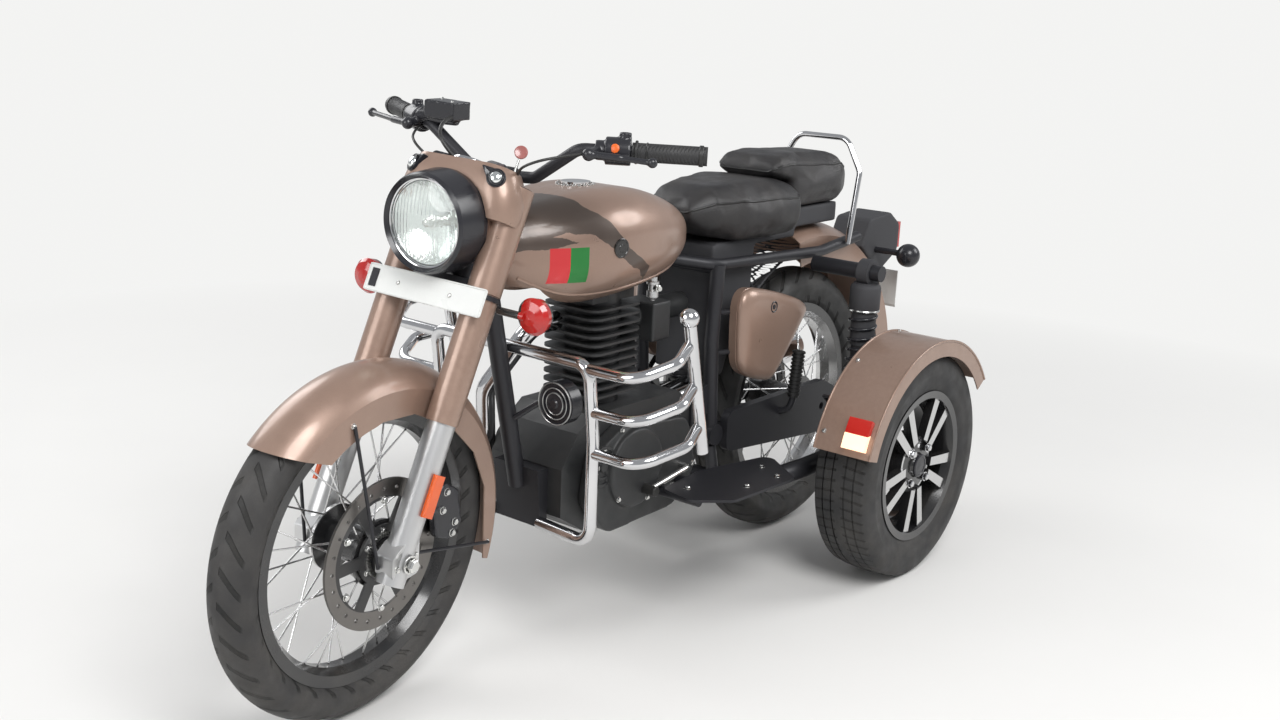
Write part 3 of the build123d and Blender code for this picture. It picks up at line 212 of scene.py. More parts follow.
class Effects:
    """The shared shader groups. Each is made on first use, by the method that HOW names for it."""

    def use(self, tree: Tree, name: str, **inputs: object) -> Given:
        """Place a group in a material, and give its outputs."""
        group = bpy.data.node_groups.get(name) or self.group(name)
        return tree.node("Group", inputs, node_tree=group).outputs

    def group(self, name: str) -> bpy.types.NodeTree:
        """Make a group.

        Args:
            name: one of HOW's names.

        Returns:
            The node group.
        """
        made = bpy.data.node_groups.new(name, "ShaderNodeTree")
        fill, inputs, outputs = self.HOW[name]
        for label, default in inputs.items():
            made.interface.new_socket(label, in_out="INPUT", socket_type="NodeSocketFloat").default_value = default
        for label in outputs:
            made.interface.new_socket(label, in_out="OUTPUT", socket_type="NodeSocketFloat")
        tree = Tree(made)
        given = made.nodes.new("NodeGroupInput").outputs
        result = made.nodes.new("NodeGroupOutput")
        for label, socket in zip(outputs, fill(self, tree, given)):
            made.links.new(socket, result.inputs[label])
        return made

    def edge_wear(self, t: Tree, given: Given) -> tuple[Socket, ...]:
        """Rubbed edges: pointiness, broken up by noise.

        Args:
            t: the group's tree.
            given: its inputs.

        Returns:
            The mask.
        """
        edge = t.spread(t.node("NewGeometry").outputs["Pointiness"], 0.54, 0.64)
        noise = t.node("TexNoise", {"Vector": t.place(), "Scale": 90.0, "Detail": 6.0}).outputs[0]
        rubbed = t.math("MULTIPLY", edge, t.spread(noise, 0.38, 0.7))
        return (t.math("MULTIPLY", rubbed, given["Amount"]),)

    def dust(self, t: Tree, given: Given) -> tuple[Socket, ...]:
        """Road dust: cloudy, and more near the floor and on faces that look up.

        Args:
            t: the group's tree.
            given: its inputs.

        Returns:
            The mask.
        """
        up = t.node("SeparateXYZ", {0: t.node("NewGeometry").outputs["Normal"]}).outputs[2]
        low = t.node("SeparateXYZ", {0: t.node("NewGeometry").outputs["Position"]}).outputs[2]
        cloud = t.node("TexNoise", {"Vector": t.place(), "Scale": 14.0, "Detail": 8.0}).outputs[0]
        speck = t.node("TexNoise", {"Vector": t.place(), "Scale": 420.0, "Detail": 2.0}).outputs[0]
        where = t.math("ADD", t.spread(up, 0.0, 1.0, 0.25, 0.7), t.spread(low, 0.0, 0.5, 0.5, 0.0))
        film = t.math("MULTIPLY", t.spread(cloud, 0.36, 0.72), t.spread(speck, 0.35, 0.6, 0.55, 1.0))
        return (t.math("MULTIPLY", t.math("MULTIPLY", film, where), given["Amount"]),)

    def mottle(self, t: Tree, given: Given) -> tuple[Socket, ...]:
        """Slow and fine variation, for colour and gloss.

        Args:
            t: the group's tree.
            given: its inputs.

        Returns:
            The slow and the fine value.
        """
        slow = t.node("TexNoise", {"Vector": t.place(), "Scale": given["Scale"], "Detail": 4.0}).outputs[0]
        fine = t.node("TexNoise", {"Vector": t.place(), "Scale": 1600.0, "Detail": 1.0}).outputs[0]
        return t.spread(slow, 0.3, 0.7), t.spread(fine, 0.35, 0.65)

    def noise(self, t: Tree, given: Given) -> tuple[Socket, ...]:
        """Plain noise, as a height: its Detail input says how rough."""
        inputs = {"Vector": t.place(), "Scale": given["Scale"], "Detail": given["Detail"]}
        return (t.node("TexNoise", inputs).outputs[0],)

    def vinyl(self, t: Tree, given: Given) -> tuple[Socket, ...]:
        """Pebbled vinyl grain.

        Args:
            t: the group's tree.
            given: its inputs.

        Returns:
            The height.
        """
        cells = {"Vector": t.place(), "Scale": given["Scale"]}
        cell = t.node("TexVoronoi", cells, feature="DISTANCE_TO_EDGE").outputs[0]
        fine = t.node("TexNoise", {"Vector": t.place(), "Scale": 240.0, "Detail": 6.0}).outputs[0]
        return (t.math("ADD", t.spread(cell, 0.0, 0.14), t.math("MULTIPLY", fine, 0.5)),)

    def brushed(self, t: Tree, given: Given) -> tuple[Socket, ...]:
        """Fine lines along the machine, as a height."""
        lines = t.node("Mapping", {"Vector": t.place(), "Scale": (0.04, 1.0, 1.0)}).outputs[0]
        return (t.node("TexNoise", {"Vector": lines, "Scale": given["Scale"], "Detail": 3.0}).outputs[0],)

    def ring(self, t: Tree, given: Given) -> tuple[Socket, ...]:
        """The place about an axle that runs across the machine.

        Args:
            t: the group's tree.
            given: its inputs.

        Returns:
            1 between two radii, the radius, the turn and the place across.
        """
        part = t.node("SeparateXYZ", {0: t.place()}).outputs
        out, up = t.math("SUBTRACT", part[0], given["X"]), t.math("SUBTRACT", part[2], given["Z"])
        radius = t.math("SQRT", t.math("ADD", t.math("MULTIPLY", out, out), t.math("MULTIPLY", up, up)))
        inside = t.math("MULTIPLY", t.math("GREATER_THAN", radius, given["Inner"]),
                        t.math("LESS_THAN", radius, given["Outer"]))
        return inside, radius, t.math("ARCTAN2", up, out), part[1]

    def sipes(self, t: Tree, given: Given) -> tuple[Socket, ...]:
        """Curved slanted grooves of a tread, left and right in turn: a saw wave that leans with the distance out.

        Args:
            t: the group's tree.
            given: its inputs.

        Returns:
            The height.
        """
        ring = self.use(t, "axle_ring")
        across = ring["Across"]
        away = t.math("DIVIDE", t.math("ABSOLUTE", across), given["Half"])
        lean = t.math("MULTIPLY", t.math("POWER", away, 1.6), given["Lean"])
        half_step = t.math("MULTIPLY", t.math("GREATER_THAN", across, 0.0), 0.5)
        turn = t.math("MULTIPLY", ring["Turn"], t.math("DIVIDE", given["Count"], math.tau))
        wave = t.math("FRACT", t.math("ADD", t.math("ADD", turn, lean), t.math("ADD", half_step, 200.0)))
        groove = t.spread(t.math("ABSOLUTE", t.math("SUBTRACT", wave, 0.5)), 0.09, 0.13)
        band = t.math("MULTIPLY", t.spread(away, 0.1, 0.14), t.spread(away, 0.8, 0.86, 1.0, 0.0))
        tread = t.math("GREATER_THAN", ring["Radius"], given["Shoulder"])
        cut = t.math("MULTIPLY", t.math("SUBTRACT", 1.0, groove), t.math("MULTIPLY", band, tread))
        return (t.math("SUBTRACT", 1.0, cut),)

    HOW: dict[str, tuple[Callable, dict[str, float], tuple[str, ...]]] = {
        "edge_wear": (edge_wear, {"Amount": 0.5}, ("Mask",)),
        "road_dust": (dust, {"Amount": 0.2}, ("Mask",)),
        "mottle": (mottle, {"Scale": 9.0}, ("Slow", "Fine")),
        "axle_ring": (ring, {"X": 0.0, "Z": 0.0, "Inner": 0.0, "Outer": 1.0}, ("Mask", "Radius", "Turn", "Across")),
        "tread_sipes": (sipes, {"Half": 0.046, "Lean": 1.0, "Count": 34.0, "Shoulder": 0.24}, ("Height",)),
        Relief.SMOOTH.value: (noise, {"Scale": 260.0, "Detail": 1.0}, ("Height",)),
        Relief.CAST.value: (noise, {"Scale": 520.0, "Detail": 9.0}, ("Height",)),
        Relief.RUBBER.value: (noise, {"Scale": 700.0, "Detail": 5.0}, ("Height",)),
        Relief.BRUSHED.value: (brushed, {"Scale": 900.0}, ("Height",)),
        Relief.VINYL.value: (vinyl, {"Scale": 330.0}, ("Height",)),
    }


EFFECTS = Effects()
DUST_COLOUR = (0.30, 0.27, 0.23, 1.0)
SHARP_ANGLE, TYRE_SHARP_ANGLE = math.radians(38), math.radians(50)


@dataclass(frozen=True)
class Finish:
    """A procedural finish: colours, gloss, fine relief, worn edges and dust."""

    name: str
    colour: Colour
    roughness: float
    metallic: float = 0.0
    relief: Relief = Relief.SMOOTH
    depth: float = 0.05
    coat: float = 0.0
    shade: float = 0.12
    wear: Colour = (0.25, 0.24, 0.23)
    wear_amount: float = 0.0
    dust: float = 0.12
    flake: float = 0.0

    def base(self, t: Tree) -> Socket:
        """The colour before wear and dust.

        Args:
            t: the material's tree.

        Returns:
            The colour's socket.
        """
        vary = EFFECTS.use(t, "mottle")
        dark = tuple(c * (1 - self.shade) for c in self.colour) + (1.0,)
        light = tuple(min(1.0, c * (1 + self.shade)) for c in self.colour) + (1.0,)
        body = t.mix(vary["Slow"], dark, light)
        if self.flake:
            bright = tuple(min(1.0, c * 1.45) for c in self.colour) + (1.0,)
            spot = t.math("MULTIPLY", vary["Fine"], self.flake)
            body = t.mix(spot, body, bright)
        return self.paint(t, body)

    def paint(self, t: Tree, body: Socket) -> Socket:
        """Marks laid over the plain colour; none here."""
        return body

    def height(self, t: Tree) -> Socket:
        """The surface's fine height."""
        return EFFECTS.use(t, self.relief.value)["Height"]

    def metal(self, t: Tree, shader: bpy.types.Node) -> None:
        """Set the metal share on the shader's own socket."""
        shader.inputs["Metallic"].default_value = self.metallic

    def extra(self, t: Tree, shader: bpy.types.Node) -> None:
        """Further inputs of a special finish; none here."""

    def material(self) -> bpy.types.Material:
        """The finished material, made once."""
        found = bpy.data.materials.get(self.name)
        if found:
            return found
        made = bpy.data.materials.new(self.name)
        made.use_nodes = True
        t = Tree(made.node_tree)
        shader = t.node("BsdfPrincipled")
        colour = self.base(t)
        if self.wear_amount:
            mask = EFFECTS.use(t, "edge_wear", Amount=self.wear_amount)[0]
            colour = t.mix(mask, colour, self.wear + (1.0,))
        film = EFFECTS.use(t, "road_dust", Amount=self.dust)[0]
        colour = t.mix(film, colour, DUST_COLOUR)
        t.tree.links.new(colour, shader.inputs["Base Color"])
        vary = EFFECTS.use(t, "mottle", Scale=26.0)
        low, high = self.roughness * 0.8, min(1.0, self.roughness * 1.25)
        gloss = t.spread(vary["Slow"], 0.0, 1.0, low, high)
        gloss = t.math("ADD", gloss, t.math("MULTIPLY", film, 0.4))
        t.tree.links.new(gloss, shader.inputs["Roughness"])
        self.metal(t, shader)
        shader.inputs["Coat Weight"].default_value = self.coat
        shader.inputs["Coat Roughness"].default_value = 0.12
        bump = t.node("Bump", {"Height": self.height(t), "Strength": self.depth, "Distance": 0.0006})
        t.tree.links.new(bump.outputs[0], shader.inputs["Normal"])
        self.extra(t, shader)
        t.node("OutputMaterial", {"Surface": shader.outputs[0]})
        return made

    def dress(self, *objects: bpy.types.Object) -> None:
        """Give the finish to objects, in every slot they have.

        Args:
            objects: meshes to dress.
        """
        for piece in objects:
            if not piece.data.materials:
                piece.data.materials.append(self.material())
            for slot in piece.material_slots:
                slot.material = self.material()


@dataclass(frozen=True)
class TankPaint(Finish):
    """The tank's paint with its irregular dark sweep and a plain two-tone patch."""

    sweep: Colour = (0.085, 0.062, 0.05)
    red: Colour = (0.62, 0.03, 0.035)
    green: Colour = (0.01, 0.19, 0.03)
    patch: tuple[float, float, float, float] = (0.292, 0.364, 0.755, 0.823)

    def box(self, t: Tree, x: Socket, z: Socket, left: float, right: float, low: float, high: float) -> Socket:
        """A rectangle in the side view.

        Args:
            t: the material's tree.
            x: the forward place.
            z: the height.
            left: its rear edge.
            right: its front edge.
            low: its lower edge.
            high: its upper edge.

        Returns:
            1 inside, 0 outside.
        """
        wide = t.math("MULTIPLY", t.math("GREATER_THAN", x, left), t.math("LESS_THAN", x, right))
        tall = t.math("MULTIPLY", t.math("GREATER_THAN", z, low), t.math("LESS_THAN", z, high))
        return t.math("MULTIPLY", wide, tall)

    def paint(self, t: Tree, body: Socket) -> Socket:
        """The sweep over the crown and down each side, and the patch on the left.

        Args:
            t: the material's tree.
            body: the plain colour.

        Returns:
            The marked colour's socket.
        """
        part = t.node("SeparateXYZ", {0: t.place()}).outputs
        rough = t.node("TexNoise", {"Vector": t.place(), "Scale": 17.0, "Detail": 7.0, "Roughness": 0.55}).outputs[0]
        ragged = t.math("MULTIPLY", t.math("SUBTRACT", rough, 0.5), 0.036)
        curve = t.node("FloatCurve", {1: t.spread(part[0], 0.10, 0.43)})
        points = curve.mapping.curves[0].points
        points[0].location, points[1].location = (0.0, 0.05), (1.0, 0.78)
        for place in ((0.22, 0.28), (0.45, 0.66), (0.62, 0.85), (0.8, 0.86)):
            points.new(*place)
        curve.mapping.update()
        middle = t.spread(curve.outputs[0], 0.0, 1.0, 0.735, 0.905)
        away = t.math("ABSOLUTE", t.math("SUBTRACT", t.math("ADD", part[2], ragged), middle))
        half = t.spread(part[0], 0.16, 0.40, 0.013, 0.046)
        band = t.math("LESS_THAN", away, half)
        band = t.math("MULTIPLY", band, t.math("GREATER_THAN", part[0], 0.12))
        low_arm = t.math("LESS_THAN", t.math("ABSOLUTE", t.math("SUBTRACT", t.math("ADD", part[2], ragged), 0.833)),
                         t.spread(part[0], 0.31, 0.43, 0.0, 0.022))
        marked = t.mix(t.math("MAXIMUM", band, low_arm), body, self.sweep + (1.0,))
        left = t.math("GREATER_THAN", part[1], 0.02)
        patch = t.math("MULTIPLY", self.box(t, part[0], part[2], *self.patch), left)
        tone = t.mix(t.math("GREATER_THAN", part[0], sum(self.patch[:2]) / 2), self.green + (1.0,), self.red + (1.0,))
        return t.mix(patch, marked, tone)


@dataclass(frozen=True)
class RingedFinish(Finish):
    """A finish with another one between two radii about an axle."""

    centre: tuple[float, float] = (0.0, 0.0)
    inner: float = 0.0
    outer: float = 1.0
    second: Colour = (0.7, 0.7, 0.7)
    outward: float = 0.0

    def mask(self, t: Tree) -> Socket:
        """Where the second finish is.

        Args:
            t: the material's tree.

        Returns:
            The mask's socket.
        """
        ring = EFFECTS.use(t, "axle_ring", X=self.centre[0], Z=self.centre[1], Inner=self.inner, Outer=self.outer)
        if not self.outward:
            return ring["Mask"]
        face = t.node("VectorMath", {0: t.node("TexCoord").outputs["Normal"]}, operation="ABSOLUTE").outputs[0]
        flat = t.math("GREATER_THAN", t.node("SeparateXYZ", {0: face}).outputs[1], 0.93)
        plane = t.math("GREATER_THAN", t.math("ABSOLUTE", ring["Across"]), self.outward)
        return t.math("MULTIPLY", ring["Mask"], t.math("MULTIPLY", flat, plane))

    def paint(self, t: Tree, body: Socket) -> Socket:
        """The second colour inside the ring."""
        return t.mix(self.mask(t), body, self.second + (1.0,))

    def metal(self, t: Tree, shader: bpy.types.Node) -> None:
        """Bright metal inside the ring only."""
        t.tree.links.new(self.mask(t), shader.inputs["Metallic"])


@dataclass(frozen=True)
class SplitFinish(Finish):
    """Two colours, changing at a plane across one direction."""

    axis: int = 0
    plane: float = 0.0
    second: Colour = (0.02, 0.02, 0.02)
    glow: float = 0.0
    stem: float = 0.0

    def beyond(self, t: Tree) -> Socket:
        """1 on the second colour's side of the plane.

        Args:
            t: the material's tree.

        Returns:
            The mask's socket.
        """
        part = t.node("SeparateXYZ", {0: t.place(self.stem > 0)}).outputs[self.axis]
        far = t.math("LESS_THAN", part, self.plane)
        if not self.stem:
            return far
        away = t.math("ABSOLUTE", t.node("SeparateXYZ", {0: t.place(True)}).outputs[1])
        return t.math("MAXIMUM", far, t.math("LESS_THAN", away, self.stem))

    def paint(self, t: Tree, body: Socket) -> Socket:
        """The second colour beyond the plane."""
        return t.mix(self.beyond(t), body, self.second + (1.0,))

    def extra(self, t: Tree, shader: bpy.types.Node) -> None:
        """A lit lamp's glow, on the second colour's side.

        Args:
            t: the material's tree.
            shader: the principled shader.
        """
        if self.glow:
            lit = t.mix(self.beyond(t), (0.05, 0.002, 0.001, 1.0), (1.0, 0.72, 0.5, 1.0))
            t.tree.links.new(lit, shader.inputs["Emission Color"])
            shader.inputs["Emission Strength"].default_value = self.glow


@dataclass(frozen=True)
class RibbedFinish(Finish):
    """A moulded surface with ribs a fixed distance apart along one direction."""

    axis: int = 1
    pitch: float = 0.004
    share: float = 0.5

    def height(self, t: Tree) -> Socket:
        """Ribs with the fine skin over them.

        Args:
            t: the material's tree.

        Returns:
            The height's socket.
        """
        part = t.node("SeparateXYZ", {0: t.place()}).outputs[self.axis]
        wave = t.math("PINGPONG", part, self.pitch / 2)
        rib = t.spread(wave, self.pitch * (0.5 - self.share / 2) / 2, self.pitch * (0.5 + self.share / 2) / 2)
        skin = EFFECTS.use(t, self.relief.value)["Height"]
        return t.math("ADD", rib, t.math("MULTIPLY", skin, 0.12))


@dataclass(frozen=True)
class TreadFinish(Finish):
    """Tyre rubber with slanted sipes cut into the tread, and painted shade in the sipes."""

    half: float = 0.046
    lean: float = 1.0
    count: float = 34.0

    def grooves(self, t: Tree) -> Socket:
        """0 in the sipes and 1 beside them."""
        return EFFECTS.use(t, "tread_sipes", Half=self.half, Lean=self.lean, Count=self.count)["Height"]

    def height(self, t: Tree) -> Socket:
        """Sipes with the rubber's skin."""
        skin = EFFECTS.use(t, self.relief.value)["Height"]
        return t.math("ADD", t.math("MULTIPLY", self.grooves(t), 6.0), t.math("MULTIPLY", skin, 0.15))

    def paint(self, t: Tree, body: Socket) -> Socket:
        """Painted shade: a darker colour in the sipes, standing in for the shade in the grooves."""
        return t.mix(self.grooves(t), (0.003, 0.003, 0.003, 1.0), body)


@dataclass(frozen=True)
class GlassFinish(Finish):
    """Clear or tinted moulded glass."""

    through: float = 0.9

    def extra(self, t: Tree, shader: bpy.types.Node) -> None:
        """Let light through."""
        shader.inputs["Transmission Weight"].default_value = self.through
        shader.inputs["IOR"].default_value = 1.46


SAND = (0.285, 0.19, 0.146)
PAINT = Finish("sand_bronze_paint", SAND, 0.34, metallic=0.35, depth=0.02, coat=0.35, shade=0.05, flake=0.35,
               wear=(0.5, 0.36, 0.28), wear_amount=0.15, dust=0.06)
TANK_PAINT = TankPaint("tank_paint", SAND, 0.34, metallic=0.35, depth=0.02, coat=0.4, shade=0.05, flake=0.35,
                       dust=0.04)
BLACK_ENAMEL = Finish("black_enamel", (0.018, 0.018, 0.02), 0.36, relief=Relief.CAST, depth=0.1, coat=0.3,
                      wear_amount=0.25, dust=0.08)
ENGINE_BLACK = Finish("engine_black", (0.024, 0.025, 0.026), 0.44, relief=Relief.CAST, depth=0.22,
                      dust=0.05)
GLOSS_BLACK = Finish("gloss_black", (0.008, 0.011, 0.013), 0.16, depth=0.015, coat=0.8, wear_amount=0.2, dust=0.05)
PLASTIC = Finish("black_plastic", (0.02, 0.02, 0.021), 0.5, relief=Relief.CAST, depth=0.16, dust=0.2)
CHROME = Finish("chrome", (0.66, 0.66, 0.67), 0.09, metallic=1.0, depth=0.008, shade=0.05, dust=0.1)
ALLOY = Finish("bare_alloy", (0.56, 0.58, 0.58), 0.3, metallic=0.9, relief=Relief.BRUSHED, depth=0.08, shade=0.12,
               wear=(0.8, 0.8, 0.8), wear_amount=0.5, dust=0.18)
STEEL = Finish("plated_steel", (0.5, 0.5, 0.49), 0.28, metallic=1.0, relief=Relief.BRUSHED, depth=0.06, dust=0.2)
BRIGHT = Finish("bright_screw", (0.72, 0.72, 0.7), 0.2, metallic=1.0, relief=Relief.BRUSHED, depth=0.04, dust=0.05)
SPOKES = RingedFinish("black_rim_bright_spokes", (0.012, 0.012, 0.013), 0.22, depth=0.02, coat=0.5, dust=0.12,
                      inner=0.0635, outer=0.2215)
DISC = RingedFinish("disc_and_carrier", (0.02, 0.02, 0.021), 0.34, relief=Relief.BRUSHED, depth=0.12, dust=0.1,
                    inner=0.107, outer=0.2, second=(0.2, 0.19, 0.18))
MACHINED = RingedFinish("black_alloy_machined_faces", (0.01, 0.01, 0.011), 0.2, relief=Relief.BRUSHED, depth=0.03,
                        coat=0.5, dust=0.08, inner=0.06, outer=0.158, second=(0.6, 0.6, 0.6), outward=0.42)
FRONT_TREAD = TreadFinish("front_tyre_rubber", (0.028, 0.027, 0.027), 0.62, relief=Relief.RUBBER, depth=1.0,
                          dust=0.2)
REAR_TREAD = TreadFinish("rear_tyre_rubber", (0.026, 0.026, 0.026), 0.62, relief=Relief.RUBBER, depth=1.0,
                         dust=0.2, half=0.056, lean=1.4, count=30.0)
CAR_TREAD = TreadFinish("car_tyre_rubber", (0.02, 0.02, 0.021), 0.6, relief=Relief.RUBBER, depth=1.0, dust=0.2,
                        half=0.071, lean=0.35, count=68.0)
GRIP = RibbedFinish("ribbed_grip", (0.017, 0.017, 0.018), 0.55, relief=Relief.RUBBER, depth=1.0, dust=0.1,
                    axis=1, pitch=0.0052)
VINYL = Finish("black_vinyl", (0.017, 0.016, 0.017), 0.4, relief=Relief.VINYL, depth=0.35, shade=0.2, dust=0.12)
PIPING = Finish("vinyl_piping", (0.012, 0.012, 0.012), 0.34, relief=Relief.RUBBER, depth=0.2, dust=0.05)
PLATE = Finish("blank_plate", (0.72, 0.73, 0.71), 0.3, depth=0.03, shade=0.04, coat=0.3, dust=0.25)
RED_LAMP = SplitFinish("red_lens_black_shell", (0.42, 0.008, 0.006), 0.14, depth=0.01, coat=0.7, dust=0.03,
                       axis=0, plane=(1142 - 613 - 8) / 1000, stem=0.1745)
RED_LENS = RibbedFinish("red_lens", (0.4, 0.01, 0.008), 0.16, depth=0.3, coat=0.6, dust=0.03, axis=1, pitch=0.006)
ORANGE = RibbedFinish("orange_reflector", (0.72, 0.1, 0.008), 0.16, depth=0.5, coat=0.6, dust=0.03, axis=2,
                      pitch=0.0035)
SIDE_LAMP = SplitFinish("side_lamp_lens", (0.5, 0.012, 0.008), 0.2, depth=0.03, coat=0.5, dust=0.02, axis=2,
                        plane=0.398, second=(0.9, 0.5, 0.3), glow=1.2)
CLEAR = GlassFinish("clear_glass", (0.94, 0.97, 0.96), 0.04, depth=0.01, shade=0.02, dust=0.0)
MIRROR = Finish("lamp_reflector", (0.85, 0.87, 0.86), 0.07, metallic=1.0, depth=0.005, shade=0.03, dust=0.0)
BADGE = Finish("black_badge", (0.012, 0.011, 0.01), 0.25, depth=0.03, coat=0.4, dust=0.03)
HOSE = Finish("black_hose", (0.014, 0.014, 0.014), 0.42, relief=Relief.RUBBER, depth=0.15, dust=0.1)
RED_FOB = Finish("dull_red_fob", (0.32, 0.11, 0.1), 0.22, depth=0.02, coat=0.6, dust=0.02)
ORANGE_BUTTON = Finish("orange_button", (0.75, 0.13, 0.015), 0.35, depth=0.04, dust=0.03)

NODE_FINISHES: dict[Finish, str] = {
    PAINT: "fork_shrouds nacelle front_mudguard side_panels rear_mudguard side_mudguards",
    TANK_PAINT: "tank",
    ALLOY: "fork_legs",
    STEEL: "front_axle rear_axle",
    BLACK_ENAMEL: "yokes front_brackets frame handlebar swing_arm side_carrier footboards",
    ENGINE_BLACK: "engine_covers crankcase cylinder carburettor",
    GLOSS_BLACK: "headlamp_rim controls front_caliper horn rear_indicators",
    GRIP: "grips",
    PLATE: "front_plate rear_plate",
    RED_LAMP: "front_indicators",
    RED_LENS: "tail_lens",
    ORANGE: "fork_reflectors",
    CHROME: "exhaust crash_guard grab_hoop fuel_cap",
    PLASTIC: "seat_base tail_lamp side_shocks",
    SIDE_LAMP: "side_lamps",
}


class Shop:
    """Makes pieces from meshes, dresses them and puts them on a body."""

    def __init__(self) -> None:
        """Start without the CAD nodes, which main gives."""
        self.nodes: dict[str, bpy.types.Object] = {}

    def piece(self, name: str, mesh: bpy.types.Mesh, finish: Finish, body: str,
              smooth: bool = True) -> bpy.types.Object:
        """Put a mesh in the scene as a finished piece.

        Args:
            name: the piece's name.
            mesh: its mesh.
            finish: its finish.
            body: the body that it rides.
            smooth: shade it smooth.

        Returns:
            The piece.
        """
        if body in TURNED_BODIES:
            mesh.transform(STEER_TURN)
        made = placed(name, mesh)
        finish.dress(made)
        if smooth:
            mesh.shade_smooth()
            mesh.set_sharp_from_angle(angle=SHARP_ANGLE)
        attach(made, body)
        LOG.info("%s: %d faces on %s", name, len(mesh.polygons), body)
        return made

    def solid(self, name: str, form: bmesh.types.BMesh, finish: Finish, body: str,
              smooth: bool = True) -> bpy.types.Object:
        """Close a mesh and put it in the scene as a finished piece."""
        return self.piece(name, self.closed(name, form), finish, body, smooth)

    def turned(self, name: str, profile: Profile, start: Vector, way: Vector, finish: Finish, body: str,
               steps: int = 64) -> bpy.types.Object:
        """A piece turned about a line.

        Args:
            name: the piece's name.
            profile: (along, radius) pairs in millimetres.
            start: where the line starts.
            way: the line's direction.
            finish: its finish.
            body: the body that it rides.
            steps: divisions round the line.

        Returns:
            The piece.
        """
        form = bmesh.new()
        self.lathe(form, profile, start, way, steps)
        return self.solid(name, form, finish, body)

    def closed(self, name: str, form: bmesh.types.BMesh) -> bpy.types.Mesh:
        """Weld, face outwards and store a mesh.

        Args:
            name: the mesh's name.
            form: the mesh being built, freed here.

        Returns:
            The mesh.
        """
        bmesh.ops.remove_doubles(form, verts=form.verts, dist=1e-6)
        bmesh.ops.recalc_face_normals(form, faces=form.faces)
        mesh = bpy.data.meshes.new(name)
        form.to_mesh(mesh)
        form.free()
        return mesh

    def lathe(self, form: bmesh.types.BMesh, profile: Profile, start: Vector, way: Vector, steps: int = 48) -> None:
        """Turn a profile about a line, into a mesh.

        Args:
            form: the mesh to add to.
            profile: (along, radius) pairs in millimetres.
            start: where the line starts.
            way: the line's direction.
            steps: divisions round the line.
        """
        frame = way.to_track_quat("Z", "Y").to_matrix()
        rings = []
        for along, radius in profile:
            if radius < 1e-6:
                rings.append([form.verts.new(start + frame @ Vector((0, 0, along / 1000)))])
                continue
            turns = [math.tau * k / steps for k in range(steps)]
            rings.append([form.verts.new(start + frame @ (Vector((radius * math.cos(a), radius * math.sin(a), along))
                                                          / 1000)) for a in turns])
        for low, high in zip(rings, rings[1:]):
            for k in range(steps):
                n = (k + 1) % steps
                corners = [low[k % len(low)], low[n % len(low)], high[n % len(high)], high[k % len(high)]]
                corners = list(dict.fromkeys(corners))
                if len(corners) > 2:
                    form.faces.new(corners)

    def screws(self, name: str, places: list[Seat], finish: Finish, body: str,
               sides: int = 6) -> bpy.types.Object:
        """A set of flanged screw heads.

        Args:
            name: the piece's name.
            places: (seat, direction, radius in millimetres) of each.
            finish: its finish.
            body: the body that it rides.
            sides: sides of each head.

        Returns:
            The piece.
        """
        form = bmesh.new()
        for seat, way, r in places:
            way = way.normalized()
            self.lathe(form, [(-1, 0), (-1, r * 1.3), (0.8, r * 1.3), (1.2, r * 1.1)], seat, way, 18)
            self.lathe(form, [(0.6, r), (r * 0.75, r), (r * 0.95, r * 0.8), (r, 0)], seat, way, sides)
        return self.solid(name, form, finish, body)

    def tube(self, name: str, points: list[Vector], radius: float, finish: Finish, body: str,
             closed: bool = False, smooth: bool = True) -> bpy.types.Object:
        """A round wire through or near points.

        Args:
            name: the piece's name.
            points: its control points.
            radius: in millimetres.
            finish: its finish.
            body: the body that it rides.
            closed: join its ends.
            smooth: a smooth spline, or straight runs.

        Returns:
            The piece.
        """
        curve = bpy.data.curves.new(name, "CURVE")
        curve.dimensions, curve.bevel_depth, curve.bevel_resolution = "3D", radius / 1000, 3
        curve.use_fill_caps = True
        curve.resolution_u = 8
        line = curve.splines.new("NURBS" if smooth else "POLY")
        line.points.add(len(points) - 1)
        for spot, place in zip(line.points, points):
            spot.co = (*place, 1.0)
        if smooth:
            line.order_u, line.use_endpoint_u = 3, not closed
        line.use_cyclic_u = closed
        helper = bpy.data.objects.new(name + "_line", curve)
        mesh = bpy.data.meshes.new_from_object(helper)
        mesh.name = name
        bpy.data.objects.remove(helper)
        bpy.data.curves.remove(curve)
        return self.piece(name, mesh, finish, body)


SHOP = Shop()


GROOVE = ((0.0, 0.0), (0.4, 3.5), (3.2, 3.5), (3.6, 0.2))


